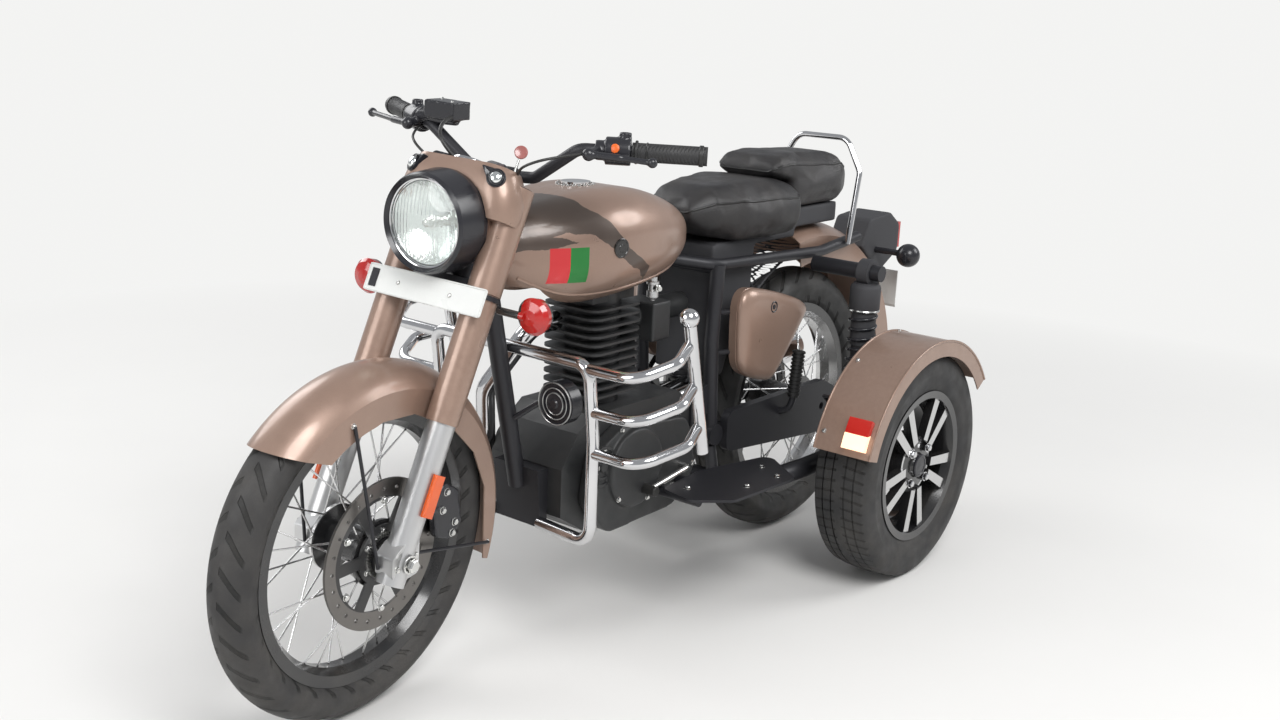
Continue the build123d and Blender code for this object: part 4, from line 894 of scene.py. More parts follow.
@dataclass
class Tyre:
    """A tyre turned from its section, with rubbing strip, bead line and tread grooves."""

    node: str
    body: str
    centre: Vector
    radius: float
    width: float
    seat: float
    grooves: tuple[float, ...]
    finish: Finish
    car: bool = False

    def half_section(self) -> Profile:
        """Crown to bead on one side, as (across, radius) in millimetres."""
        half, top, seat = self.width / 2, self.radius - 0.4, self.seat + 0.3
        if self.car:
            wall = [(half - 12, top - 5), (half - 5, top - 16), (half - 1.6, top - 30), (half - 0.6, seat + 56),
                    (half - 1.2, seat + 50), (half - 2.4, seat + 47), (half - 3.0, seat + 34), (half - 5, seat + 24),
                    (half - 8, seat + 17), (half - 11, seat + 12), (half - 14, seat + 3), (half - 14, seat)]
            crown = [(u * (half - 12), top - 5 * (u ** 2)) for u in (k / 16 for k in range(16))]
        else:
            shoulder = top - half * 0.74
            radius = (half ** 2 + (half * 0.74) ** 2) / (2 * half * 0.74)
            limit = math.asin(min(1.0, half / radius)) if half * 0.74 < radius else math.pi / 2
            turns = [limit * k / 18 for k in range(18)]
            crown = [(radius * math.sin(a), top - radius * (1 - math.cos(a))) for a in turns]
            wall = [(half - 0.4, shoulder), (half - 2.2, shoulder - 7), (half - 4.4, shoulder - 12),
                    (half * 0.80, seat + 24), (half * 0.80 - 1.5, seat + 21), (half * 0.66, seat + 17),
                    (half * 0.54, seat + 12), (half * 0.54 - 1, seat)]
        return self.cut(crown) + wall

    def cut(self, crown: Profile) -> Profile:
        """Round-the-tyre grooves in the crown.

        Args:
            crown: the plain crown.

        Returns:
            The crown with grooves.
        """
        made: Profile = []
        for (a, ra), (b, _) in zip(crown, crown[1:] + [crown[-1]]):
            made.append((a, ra))
            for groove in self.grooves:
                if a <= groove < b:
                    made += [(groove + across, ra - deep) for across, deep in GROOVE]
        return sorted(made, key=lambda p: p[0])

    def build(self) -> None:
        """Make the tyre and let it stand for the CAD one."""
        half = self.half_section()
        section = [(-a, r) for a, r in reversed(half)] + half[1:]
        form = bmesh.new()
        SHOP.lathe(form, section, Vector(), LEFT, 200)
        name = self.node + "_rubber"
        made = placed(name, SHOP.closed(name, form))
        made.data.shade_smooth()
        made.data.set_sharp_from_angle(angle=TYRE_SHARP_ANGLE)
        made.matrix_world = Matrix.Translation(self.centre)
        if self.body in TURNED_BODIES:
            made.matrix_world = STEER_TURN @ made.matrix_world
        self.finish.dress(made)
        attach(made, self.body)
        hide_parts(self.node)
        LOG.info("%s: tyre with %d faces", name, len(made.data.polygons))


@dataclass
class Cushion:
    """A stuffed seat: the CAD form swollen by cloth pressure, with piping round its top edge."""

    node: str
    cap: float
    piping: list[Vector]
    fill: float = 0.75
    pressure: float = 4.0
    frames: int = 20
    voxel: float = 0.006
    inset: float = 0.003
    foot: float = 0.03

    def swell(self, made: bpy.types.Object) -> None:
        """Blow the cover up a little and keep each point near its place.

        Args:
            made: the cushion.
        """
        mesh = made.data
        remesh = made.modifiers.new("remesh", "REMESH")
        remesh.mode, remesh.voxel_size, remesh.use_smooth_shade = "VOXEL", self.voxel, True
        settle(made)
        for vert in made.data.vertices:
            vert.co -= vert.normal * self.inset
        rest = [vert.co.copy() for vert in made.data.vertices]
        cloth = made.modifiers.new("cloth", "CLOTH")
        cloth.settings.use_pressure, cloth.settings.uniform_pressure_force = True, self.pressure
        cloth.settings.effector_weights.gravity = 0.0
        cloth.point_cache.frame_start, cloth.point_cache.frame_end = 1, self.frames
        for step in range(1, self.frames + 1):
            bpy.context.scene.frame_set(step)
        settle(made)
        bpy.context.scene.frame_set(1)
        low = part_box(self.node)[0]
        for vert, place in zip(made.data.vertices, rest):
            move = vert.co - place
            limit = self.cap / 1000 * min(1.0, max(0.0, (place.z - low.z) / self.foot))
            if move.length > limit:
                vert.co = place + (move.normalized() * limit if limit > 0 else Vector())
            vert.co.z = max(vert.co.z, low.z)
        smooth = made.modifiers.new("smooth", "SMOOTH")
        smooth.factor, smooth.iterations = 0.5, 8
        settle(made)
        bpy.data.meshes.remove(mesh)

    def build(self) -> None:
        """Make the cushion and its piping."""
        made = placed(self.node + "_cushion", SHOP.nodes[self.node].data.copy())
        self.swell(made)
        made.data.shade_smooth()
        made.data.materials.clear()
        VINYL.dress(made)
        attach(made, "chassis")
        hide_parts(self.node)
        cord = [self.rest_on(made, here.lerp(after, step / 6)) for here, after in
                zip(self.piping, self.piping[1:] + self.piping[:1]) for step in range(6)]
        SHOP.tube(self.node + "_piping", cord, 2.6, PIPING, "chassis", closed=True)
        LOG.info("%s: cushion with %d faces", self.node, len(made.data.polygons))

    def rest_on(self, made: bpy.types.Object, point: Vector) -> Vector:
        """The nearest point of the cushion's cover."""
        found, place, _, _ = made.closest_point_on_mesh(point)
        return place if found else point


@dataclass
class Rounded:
    """A CAD form with its edges eased, as cast or moulded ones are."""

    node: str
    finish: Finish
    voxel: float
    rounds: int
    body: str = "chassis"

    def build(self) -> None:
        """Remesh a copy, ease its edges and let it stand for the CAD form."""
        made = placed(self.node + "_form", SHOP.nodes[self.node].data.copy())
        remesh = made.modifiers.new("remesh", "REMESH")
        remesh.mode, remesh.voxel_size = "VOXEL", self.voxel
        smooth = made.modifiers.new("smooth", "SMOOTH")
        smooth.factor, smooth.iterations = 0.5, self.rounds
        settle(made)
        made.data.shade_smooth()
        made.data.materials.clear()
        self.finish.dress(made)
        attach(made, self.body)
        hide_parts(self.node)
        LOG.info("%s: eased form with %d faces", self.node, len(made.data.polygons))


@dataclass
class Headlamp:
    """Reflector bowl, bulb and fluted glass inside the black rim."""

    centre: Vector
    radius: float = 80.0
    flutes: int = 18
    steps: int = 180
    rings: int = 45

    def build(self) -> None:
        """Make the lamp and let it stand for the CAD lens."""
        bowl = [(1.0 + 24 * (k / 10) ** 2, 12 + (self.radius - 13) * k / 10) for k in range(11)]
        SHOP.turned("headlamp_reflector", [(1, 0), (1, 12)] + bowl + [(27, self.radius - 0.5)],
                    self.centre, FORWARD, MIRROR, "steering")
        bulb = [(0, 0), (0, 11), (8, 12), (9, 8), (22, 8), (25, 5), (26, 0)]
        SHOP.turned("headlamp_bulb_shield", bulb, self.centre, FORWARD, BRIGHT, "steering", 32)
        glass = self.glass()
        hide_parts("headlamp_lens")
        rim = [(24, self.radius + 0.4), (29, self.radius + 0.4), (30, self.radius - 1), (29, self.radius - 3),
               (24, self.radius - 3), (24, self.radius + 0.4)]
        SHOP.turned("headlamp_inner_ring", rim, self.centre, FORWARD, CHROME, "steering")

    def glass(self) -> bpy.types.Object:
        """The domed glass with upright flutes, faint in a small patch at its middle and fading out at the rim.

        Returns:
            The glass.
        """
        form = bmesh.new()
        size, steps, rings = self.radius - 1.0, self.steps, self.rings
        sheets = []
        for depth in (0.0, -2.6):
            grid = {}
            for ring in range(rings + 1):
                r = size * ring / rings
                for k in range(steps if ring else 1):
                    a = math.tau * k / steps
                    y, z = r * math.cos(a), r * math.sin(a)
                    wave = math.cos(math.pi * self.flutes * y / size) * 0.45 if depth else 0.0
                    fade = min(1.0, max(0.0, (size - r) / 8))
                    x = 35 - 13 * (r / size) ** 2 + depth + wave * fade * (1 if abs(z) > 14 or abs(y) > 30 else 0.2)
                    grid[ring, k] = form.verts.new(self.centre + Vector((x, y, z)) / 1000)
            for ring in range(rings):
                for k in range(steps):
                    n = (k + 1) % steps
                    if ring == 0:
                        form.faces.new((grid[0, 0], grid[1, k], grid[1, n]))
                    else:
                        form.faces.new((grid[ring, k], grid[ring + 1, k], grid[ring + 1, n], grid[ring, n]))
            sheets.append(grid)
        for k in range(steps):
            n = (k + 1) % steps
            form.faces.new((sheets[0][rings, k], sheets[0][rings, n], sheets[1][rings, n], sheets[1][rings, k]))
        return SHOP.solid("headlamp_glass", form, CLEAR, "steering")


@dataclass
class Spring:
    """A coil spring with its seats and piston rod, on a shock absorber."""

    low: Vector
    high: Vector
    radius: float
    turns: int
    body: str = "chassis"

    def build(self, name: str) -> None:
        """Make the coil and its seats.

        Args:
            name: the start of the pieces' names.
        """
        way = self.high - self.low
        frame = way.to_track_quat("Z", "Y").to_matrix()
        line, steps = [], self.turns * 24
        for k in range(steps + 1):
            a, t = math.tau * self.turns * k / steps, k / steps
            place = Vector((self.radius / 1000 * math.cos(a), self.radius / 1000 * math.sin(a), way.length * t))
            line.append(self.low + frame @ place)
        SHOP.tube(name + "_coil", line, 3.6, GLOSS_BLACK, self.body)
        length, r = way.length * 1000, self.radius
        seats = [(-6, 0), (-6, r + 5), (-2, r + 6), (0, r + 3), (0, 8), (length, 8), (length, r + 3),
                 (length + 3, r + 6), (length + 10, r + 3), (length + 10, 0)]
        SHOP.turned(name + "_seats", seats, self.low, way, STEEL, self.body, 40)


def steer_point(height: float, forward: float = 0.0, y: float = 0.0) -> Vector:
    """The point forward mm square ahead of the steering axis at a height, y to the left."""
    x = 1465.0 - height * math.tan(RAKE) + forward * math.cos(RAKE)
    return at(x, y, height + forward * math.sin(RAKE))


def bar_point(distance: float, side: int) -> Vector:
    """A point on the handlebar's straight end, at a distance in millimetres from its tip."""
    tip, bend = (at(x, side * y, z) for x, y, z in (GRIP_TIP, GRIP_BEND))
    return tip + (bend - tip).normalized() * distance / 1000


def cast_on(node: str, start: Vector, way: Vector, turned: bool = False) -> tuple[Vector, Vector] | None:
    """Where a line meets a CAD node.

    Args:
        node: the node's name.
        start: the line's start.
        way: its direction.
        turned: the line is given before the handlebar's turn, and so is the answer.

    Returns:
        The point and the surface's normal, or None.
    """
    turn = STEER_TURN if turned else Matrix.Identity(4)
    aim = (turn.to_3x3() @ way).normalized()
    found, place, normal, _ = SHOP.nodes[node].ray_cast(turn @ start, aim)
    return (turn.inverted() @ place, turn.to_3x3().inverted() @ normal) if found else None


def seats(node: str, starts: list[Vector], way: Vector, size: float, turned: bool = False) -> list[Seat]:
    """Where screw heads sit on a CAD node.

    Args:
        node: the node's name.
        starts: a point in front of each.
        way: the direction that the heads face.
        size: their radius in millimetres.
        turned: the points are given before the handlebar's turn.

    Returns:
        The seats of those that meet the node.
    """
    hits = [cast_on(node, start, -way, turned) for start in starts]
    return [(hit[0], way, size) for hit in hits if hit]


@dataclass
class FrontWheelTrim:
    """Rivets on the disc carrier and the toothed ring inside it."""

    centre: Vector
    face_y: float
    body: str = "front_wheel_set"

    def build(self) -> None:
        """Make the trim."""
        out = LEFT
        places = []
        for circle, count, size in ((103.0, 6, 5.5), (46.0, 6, 4.2)):
            for k in range(count):
                a = math.tau * (k + 0.5) / count
                offset = Vector((circle * math.cos(a), self.face_y, circle * math.sin(a))) / 1000
                places.append((self.centre + offset, out, size))
        SHOP.screws("front_disc_rivets", places, BRIGHT, self.body, 16)
        form = bmesh.new()
        face = self.centre + out * self.face_y / 1000
        SHOP.lathe(form, [(0, 34), (3, 34), (3, 43), (0, 43), (0, 34)], face, out, 96)
        for k in range(48):
            a = math.tau * k / 48
            tooth = bmesh.ops.create_cube(form, size=1.0)["verts"]
            spot = face + Vector((38.5 * math.cos(a), 4.2, 38.5 * math.sin(a))) / 1000
            turn = Matrix.Rotation(-a, 4, "Y")
            bmesh.ops.transform(form, verts=tooth,
                                matrix=Matrix.Translation(spot) @ turn @ Matrix.Diagonal((0.007, 0.003, 0.0022, 1)))
        SHOP.solid("speed_sensor_ring", form, STEEL, self.body)


@dataclass
class FrontEnd:
    """Small parts that turn with the handlebar."""

    def build(self) -> None:
        """Make every small part of the steering group."""
        self.pilots()
        self.bands()
        self.plate()
        self.fork_feet()
        self.dial()
        self.switches()
        self.hoses()

    def pilots(self) -> None:
        """Small domed pilot lenses in black rings, seated where the photograph shows the left one."""
        back = STEER_TURN.inverted()
        eye, aim = back @ EYE, back @ PILOT_AIM
        hit = cast_on("nacelle", eye, aim - eye, True)
        if not hit:
            LOG.warning("no seat for the pilot lamps")
            return
        for side, tag in SIDES.items():
            seat, normal = (Vector((v.x, v.y * side, v.z)) for v in hit)
            way = (normal * 0.75 + Vector((0.95, side * 0.16, 0.24)) * 0.25).normalized()
            face = seat + way * 0.002
            SHOP.turned(f"pilot_ring_{tag}", [(-3, 11), (1.5, 14.5), (2.5, 13), (1, 11), (-3, 11)], face, way,
                        GLOSS_BLACK, "steering", 40)
            dome = [(-3, 0), (-3, 11), (1, 11)] + [(1 + 6 * math.sin(a), 11 * math.cos(a)) for a in
                                                   (math.pi / 2 * k / 8 for k in range(1, 8))] + [(7, 0)]
            SHOP.turned(f"pilot_lens_{tag}", dome, face, way, MIRROR, "steering", 40)
            self.bezel(face, way, side, tag)

    def bezel(self, face: Vector, way: Vector, side: int, tag: str) -> None:
        """A black teardrop plate round a pilot lens, its point inwards and up.

        Args:
            face: the lens's seat.
            way: the direction that it faces.
            side: 1 for the rider's left, -1 for the right.
            tag: the side's word.
        """
        form = bmesh.new()
        across = Vector((0, -side, 0.55)).normalized()
        across = (across - way * across.dot(way)).normalized()
        over = way.cross(across)
        turns = [math.radians(38 + 284 * k / 36) for k in range(37)]
        rim = [(17.5 * math.cos(a), 17.5 * math.sin(a)) for a in turns] + [(34.0, -1.0), (34.0, 1.0)]
        rows = []
        for depth, scale in ((-10, 0.98), (-1.5, 1.0), (0.6, 0.97), (1.2, 0.9), (-1.0, 0.74), (-1.0, 0.0)):
            rows.append([form.verts.new(face + (way * depth + (across * u + over * v) * scale) / 1000)
                         for u, v in rim])
        for low, high in zip(rows, rows[1:]):
            for k in range(len(rim)):
                n = (k + 1) % len(rim)
                form.faces.new((low[k], low[n], high[n], high[k]))
        form.faces.new(rows[0])
        SHOP.solid(f"pilot_bezel_{tag}", form, GLOSS_BLACK, "steering")

    def bands(self) -> None:
        """Black clamp bands where the shrouds leave the nacelle."""
        form = bmesh.new()
        for side in SIDES:
            foot = steer_point(738, SHROUD_AHEAD, side * 98)
            SHOP.lathe(form, [(0, 30), (0, 32.6), (9, 32.6), (9, 30)], foot, STEER_UP, 56)
        SHOP.solid("shroud_bands", form, BLACK_ENAMEL, "steering")

    def plate(self) -> None:
        """The blank front plate's folded edge, dark tab and screws."""
        out = Vector((math.cos(RAKE), 0, math.sin(RAKE)))
        middle = steer_point(728, SHROUD_AHEAD + 30 + 9 + 2.2)
        line = [middle + Vector((0, y / 1000, 0)) + STEER_UP * h / 1000
                for y, h in ((-134, -24), (-134, 24), (134, 24), (134, -24))]
        SHOP.tube("front_plate_edge", line, 1.3, PLATE, "steering", closed=True, smooth=False)
        form = bmesh.new()
        tab = bmesh.ops.create_cube(form, size=1.0)["verts"]
        turn = Matrix((out, LEFT, STEER_UP)).transposed().to_4x4()
        place = Matrix.Translation(middle + Vector((0, -0.118, 0)) + out * 0.0006) @ turn
        bmesh.ops.transform(form, verts=tab, matrix=place @ Matrix.Diagonal((0.0018, 0.017, 0.034, 1)))
        bmesh.ops.bevel(form, geom=form.edges[:], offset=0.0006, segments=2, affect="EDGES")
        SHOP.solid("front_plate_tab", form, GLOSS_BLACK, "steering")
        places = [(middle + Vector((0, y / 1000, 0)), out, 3.2) for y in (-60, 60)]
        SHOP.screws("front_plate_screws", places, BRIGHT, "steering", 12)

    def fork_feet(self) -> None:
        """Axle nut, pinch bolts and caliper bolts."""
        places = []
        for side in SIDES:
            for x, z, size in ((1370, 322, 13.0), (1346, 330, 5.0), (1392, 316, 5.0)):
                start, way = [at(x, side * 300, z)], Vector((0, side, 0))
                places += seats("fork_legs", start, way, size, True) or seats("front_axle", start, way, size, True)
        SHOP.screws("fork_foot_bolts", places, BRIGHT, "steering")
        starts = [at(x, 300, z) for x, z in ((1200, 338), (1238, 372), (1226, 404), (1206, 318))]
        SHOP.screws("caliper_bolts", seats("front_caliper", starts, LEFT, 6.0, True), BRIGHT, "steering")
        places = [seat for x, z in ((1452, 580), (1074, 252)) for side in SIDES
                  for seat in seats("front_mudguard", [at(x, side * 300, z)], Vector((0, side, 0)), 4.2, True)]
        SHOP.screws("front_guard_bolts", places, BRIGHT, "steering", 16)

    def dial(self) -> None:
        """The speed dial in the nacelle's top, with plain marks and a needle, and the ignition key."""
        up = STEER_UP
        hit = cast_on("nacelle", steer_point(1000, 66), -up, True)
        seat = hit[0] if hit else steer_point(948, 66)
        bezel = [(-2, 38), (5, 38), (7, 36.5), (7, 34), (4, 33), (-2, 33), (-2, 38)]
        SHOP.turned("dial_bezel", bezel, seat, up, CHROME, "steering")
        SHOP.turned("dial_face", [(-2, 0), (-2, 33), (3.4, 33), (3.4, 0)], seat, up, BADGE, "steering")
        form = bmesh.new()
        frame = up.to_track_quat("Z", "Y").to_matrix().to_4x4()
        marks = [(math.radians(220 - 260 * k / 12), 28.0, 6.0 if k % 3 == 0 else 3.2, 1.0) for k in range(13)]
        marks.append((math.radians(196), 12.0, 24.0, 1.4))
        for turn, radius, long, wide in marks:
            mark = bmesh.ops.create_cube(form, size=1.0)["verts"]
            place = Matrix.Translation(seat) @ frame @ Matrix.Rotation(turn, 4, "Z")
            place = place @ Matrix.Translation((radius / 1000, 0, 0.0042))
            size = Matrix.Diagonal((long / 1000, wide / 1000, 0.0008, 1))
            bmesh.ops.transform(form, verts=mark, matrix=place @ size)
        SHOP.solid("dial_marks", form, PLATE, "steering", smooth=False)
        beads = [(seat + (frame @ Vector((math.cos(a) * 0.0405, math.sin(a) * 0.0405, 0))), up, 2.2)
                 for a in (math.tau * k / 18 for k in range(18))]
        SHOP.screws("dial_screws", beads, BRIGHT, "steering", 12)
        head = STEER_TURN.inverted() @ at(1016, 56, 999)
        foot = cast_on("nacelle", head, -up, True) or cast_on("yokes", head, -up, True)
        if foot:
            SHOP.tube("key_stalk", [foot[0] - up * 0.004, foot[0] + (head - foot[0]) * 0.9], 2.4, BRIGHT, "steering")
        face = Vector((0.75, 0.5, 0.4)).normalized()
        cap = [(-2.5, 0), (-2.5, 11), (-1, 12.5), (1.5, 12.5), (2.5, 11), (2.0, 9.5), (1.2, 0)]
        SHOP.turned("key_fob", cap, head, face, RED_FOB, "steering", 48)

    def switches(self) -> None:
        """The orange button on the left switch pod, grip flanges and reservoir screws."""
        way = Vector((0.9, 0.25, 0.3)).normalized()
        foot = bar_point(128 + 24, 1) + way * 0.0235
        SHOP.turned("pass_button", [(-2, 0), (-2, 8), (2.5, 8), (3.5, 6.5), (3.5, 0)], foot, way, ORANGE_BUTTON,
                    "steering", 24)
        form = bmesh.new()
        for side in SIDES:
            along = (bar_point(100, side) - bar_point(0, side)).normalized()
            for distance, radius, long in ((1.0, 19.0, 8.0), (118.0, 21.0, 5.0), (100.0, 18.6, 3.0)):
                SHOP.lathe(form, [(0, 11.5), (0, radius - 1), (1, radius), (long - 1, radius), (long, radius - 1),
                                  (long, 11.5)], bar_point(distance, side), along, 40)
        SHOP.solid("grip_flanges", form, HOSE, "steering")
        top = at(1000, -142, 1054 + 17)
        places = [(top + Vector((dx, dy, 0)) / 1000, UP, 2.6) for dx, dy in ((-16, -26), (16, 26))]
        SHOP.screws("reservoir_screws", places, BRIGHT, "steering", 12)

    def hoses(self) -> None:
        """Clutch and throttle cables and the brake hose, each fixed at both ends."""
        routes = (
            ("clutch_cable", 5.0, [bar_point(186, 1) + Vector((0.040, -0.004, -0.004)), at(1088, 172, 1014),
                                   at(1110, 138, 1000), at(1106, 112, 984), at(1086, 96, 962)]),
            ("throttle_cable", 5.0, [bar_point(176, -1) + Vector((0.020, 0.010, -0.008)), at(1070, -166, 1010),
                                     at(1098, -136, 1000), at(1098, -112, 984), at(1082, -92, 962)]),
            ("front_brake_hose", 7.0, [at(1018, -112, 1044), at(1060, -96, 1046), at(1094, -82, 1024),
                                       at(1096, -60, 998), at(1078, -34, 966)]),
        )
        for name, thick, points in routes:
            made = SHOP.tube(name, points, thick / 2, HOSE, "steering")
            path = spline_path([STEER_TURN @ point for point in points])


def spline_path(points: list[Vector]) -> list[Vector]:
    """The points that a smooth cord follows.

    Args:
        points: its control points.

    Returns:
        Points along the spline.
    """
    curve = bpy.data.curves.new("path", "CURVE")
    curve.dimensions, curve.resolution_u = "3D", 8
    line = curve.splines.new("NURBS")
    line.points.add(len(points) - 1)
    for spot, place in zip(line.points, points):
        spot.co = (*place, 1.0)
    line.order_u, line.use_endpoint_u = 3, True
    helper = bpy.data.objects.new("path", curve)
    mesh = bpy.data.meshes.new_from_object(helper)
    path = [vert.co.copy() for vert in mesh.vertices]
    bpy.data.objects.remove(helper)
    bpy.data.curves.remove(curve)
    bpy.data.meshes.remove(mesh)
    return path


SEAM = ((1028, 62, 760), (1000, 86, 738), (950, 112, 712), (890, 136, 702), (800, 146, 704), (720, 140, 709),
        (650, 128, 718), (590, 106, 738), (540, 70, 764))


@dataclass
class TankTrim:
    """The badge, the seam along the tank's foot and the ring round the filler cap."""

    def build(self) -> None:
        """Make the trim."""
        tank = SHOP.nodes["tank"]
        for side, tag in SIDES.items():
            _, place, normal, _ = tank.closest_point_on_mesh(at(830, side * 152, 815))
            disc = [(-3, 0), (-3, 19), (1.6, 19), (2.6, 17.5), (2.6, 16), (1.8, 15), (1.8, 8), (2.6, 7), (2.6, 0)]
            SHOP.turned(f"tank_badge_{tag}", disc, place, normal, BADGE, "chassis", 56)
            line = [tank.closest_point_on_mesh(at(x, side * y, z))[1] for x, y, z in SEAM]
            SHOP.tube(f"tank_seam_{tag}", line, 3.8, PAINT, "chassis")
        turns = [math.tau * k / 20 for k in range(20)]
        starts = [at(800 + 37 * math.cos(a), 37 * math.sin(a), 1000) for a in turns]
        SHOP.screws("filler_ring_screws", seats("tank", starts, UP, 3.0), BRIGHT, "chassis", 14)
        foot = cast_on("tank", at(655, 92, 500), UP)
        if foot:
            tap = [(-2, 9), (6, 9), (8, 13), (13, 13), (14, 9), (26, 9), (27, 12), (40, 12), (43, 8), (48, 5), (48, 0)]
            SHOP.turned("fuel_tap", [(-2, 0)] + tap, foot[0], Vector((0, 0, -1)), ALLOY, "chassis", 40)
            nose = foot[0] + Vector((0, 0.006, -0.020))
            SHOP.turned("fuel_tap_lever", [(0, 0), (0, 7), (12, 7), (13, 5), (17, 5), (17, 0)], nose,
                        Vector((0.25, 1, 0)), BRIGHT, "chassis", 32)


@dataclass
class EngineTrim:
    """Cover screws, the ringed cover and the horn's rings."""

    def build(self) -> None:
        """Make the trim."""
        for side, tag in SIDES.items():
            places = []
            for k in range(14):
                a = math.tau * k / 14
                for scale in (1.0, 0.92, 0.84, 0.76):
                    x, z = 660 + 235 * scale * math.cos(a), 372 + 96 * scale * math.sin(a)
                    hit = cast_on("engine_covers", at(x, side * 400, z), Vector((0, -side, 0)))
                    if hit and abs(hit[1].y) > 0.95:
                        places.append((hit[0], Vector((0, side, 0)), 4.6))
                        break
            if places:
                SHOP.screws(f"cover_screws_{tag}", places, BRIGHT, "chassis")
            hit = cast_on("engine_covers", at(842, side * 400, 372), Vector((0, -side, 0)))
            if hit:
                rings = [(-4, 0), (-4, 42), (4, 42), (5, 40), (5, 36), (2, 35), (2, 28), (5, 27), (5, 22), (2, 21),
                         (2, 12), (7, 10), (8, 0)]
                SHOP.turned(f"round_cover_{tag}", rings, hit[0], Vector((0, side, 0)), ENGINE_BLACK, "chassis", 72)
        for side, tag in SIDES.items():
            hit = cast_on("engine_covers", at(585, side * 400, 318), Vector((0, -side, 0)))
            if hit:
                out = hit[0] + Vector((0, side * 0.026, 0))
                toe = at(722, side * 158, 300)
                line = [hit[0], out, out.lerp(toe, 0.15), out.lerp(toe, 0.9), toe]
                SHOP.tube(f"foot_lever_{tag}", line, 6.0, BRIGHT, "chassis")
                pad = [(-20, 0), (-20, 9), (-18, 11), (18, 11), (20, 9), (20, 0)]
                SHOP.turned(f"foot_lever_pad_{tag}", pad, toe, Vector((0, side, 0)), HOSE, "chassis", 24)
        face = at(972, 118, 527)
        rings = [(-2, 42), (3, 43), (4, 41), (1, 38), (1, 33), (4, 32), (4, 29), (1, 28), (1, 22), (5, 20), (6, 10),
                 (9, 8), (9, 0)]
        SHOP.turned("horn_face", [(-2, 0)] + rings, face, FORWARD, GLOSS_BLACK, "chassis", 72)
        for name, radius in (("outer", 41.0), ("middle", 30.5), ("inner", 21.0)):
            lip = [(2, radius - 1.2), (4.6, radius - 1), (5.2, radius), (4.6, radius + 1), (2, radius + 1.2),
                   (2, radius - 1.2)]
            SHOP.turned(f"horn_ring_{name}", lip, face, FORWARD, STEEL, "chassis", 72)


@dataclass
class BodyTrim:
    """Locks and beads on the painted toolboxes, the pillion's foot pegs and the footboard bolts."""

    def build(self) -> None:
        """Make the trim."""
        for side, tag in SIDES.items():
            self.toolbox(side, tag)
            self.rear_peg(side, tag)
            starts = [at(x, side * y, 420) for x, y in ((660, 210), (560, 290), (460, 300), (430, 240))]
            SHOP.screws(f"footboard_bolts_{tag}", seats("footboards", starts, UP, 5.5), BRIGHT, "chassis")

    def outline(self) -> list[Vector]:
        """The toolbox seen from the side, with rounded corners, in millimetres."""
        ring = [Vector(p) for p in ((412, 682), (300, 664), (130, 612), (158, 574), (262, 456), (290, 448), (400, 484),
                                    (410, 560))]
        for _ in range(4):
            cut = []
            for here, after in zip(ring, ring[1:] + ring[:1]):
                cut += [here.lerp(after, 0.25), here.lerp(after, 0.75)]
            ring = cut
        return ring

    def toolbox(self, side: int, tag: str) -> None:
        """A pressed toolbox: straight sides, a raised lid seam and a crowned face with a lock.

        Args:
            side: 1 for the rider's left, -1 for the right.
            tag: the side's word.
        """
        form, ring = bmesh.new(), self.outline()
        middle = sum(ring, Vector((0, 0))) / len(ring)
        steps = [(116.5, 0.0), (117.0, 0.985), (136.0, 1.0), (137.0, 0.984), (138.5, 0.984), (139.5, 1.0)]
        steps += [(140 + 20 * math.sin(math.pi / 2 * k / 9), 1 - 0.30 * (1 - math.cos(math.pi / 2 * k / 9)))
                  for k in range(1, 10)]
        steps += [(160.6, 0.45), (161.0, 0.2), (161.0, 0.0)]
        rows = []
        for y, scale in steps:
            if scale == 0.0:
                rows.append([form.verts.new(at(middle.x, side * y, middle.y))])
            else:
                spots = [middle + (p - middle) * scale for p in ring]
                rows.append([form.verts.new(at(q.x, side * y, q.y)) for q in spots])
        for low, high in zip(rows, rows[1:]):
            for k in range(len(ring)):
                n = (k + 1) % len(ring)
                corners = [low[k % len(low)], low[n % len(low)], high[n % len(high)], high[k % len(high)]]
                form.faces.new(list(dict.fromkeys(corners)))
        made = SHOP.solid(f"toolbox_{tag}", form, PAINT, "chassis")
        if side > 0:
            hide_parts("side_panels")
        pegs = bmesh.new()
        for tube_x, z in ((444.5, 532), (442.2, 622)):
            foot, tube = at(392, side * 119, z), at(tube_x, side * 98, z)
            SHOP.lathe(pegs, [(0, 0), (0, 6), ((tube - foot).length * 1000 - 15, 6),
                              ((tube - foot).length * 1000 - 15, 0)], foot, tube - foot, 20)
        SHOP.solid(f"toolbox_pegs_{tag}", pegs, BLACK_ENAMEL, "chassis")
        lock = [(-8, 0), (-8, 13), (0.5, 13), (1.4, 11.5), (0.4, 10), (-1.5, 9), (-1.5, 6), (0.5, 5.5), (0.5, 0)]
        SHOP.turned(f"toolbox_lock_{tag}", lock, at(300, side * 160.5, 626), Vector((0, side, 0)), GLOSS_BLACK,
                    "chassis", 48)

    def rear_peg(self, side: int, tag: str) -> None:
        """The pillion's folded foot peg with its ribbed rubber, on a bent bracket.

        Args:
            side: 1 for the rider's left, -1 for the right.
            tag: the side's word.
        """
        low, high = at(178, side * 150, 392), at(166, side * 150, 496)
        profile = [(0, 0), (0, 13)]
        for k in range(11):
            profile += [(4 + 9 * k, 13), (5 + 9 * k, 15.5), (9 + 9 * k, 15.5), (10 + 9 * k, 13)]
        profile += [(103, 13), (104, 16), (108, 16), (110, 12), (110, 0)]
        SHOP.turned(f"pillion_peg_{tag}", profile, low, high - low, HOSE, "chassis", 32)
        bend = ((178, 150, 396), (180, 150, 372), (186, 130, 352), (190, 92, 346))
        bracket = [at(x, side * y, z) for x, y, z in bend]
        SHOP.tube(f"pillion_peg_bracket_{tag}", bracket, 8, BLACK_ENAMEL, "chassis")


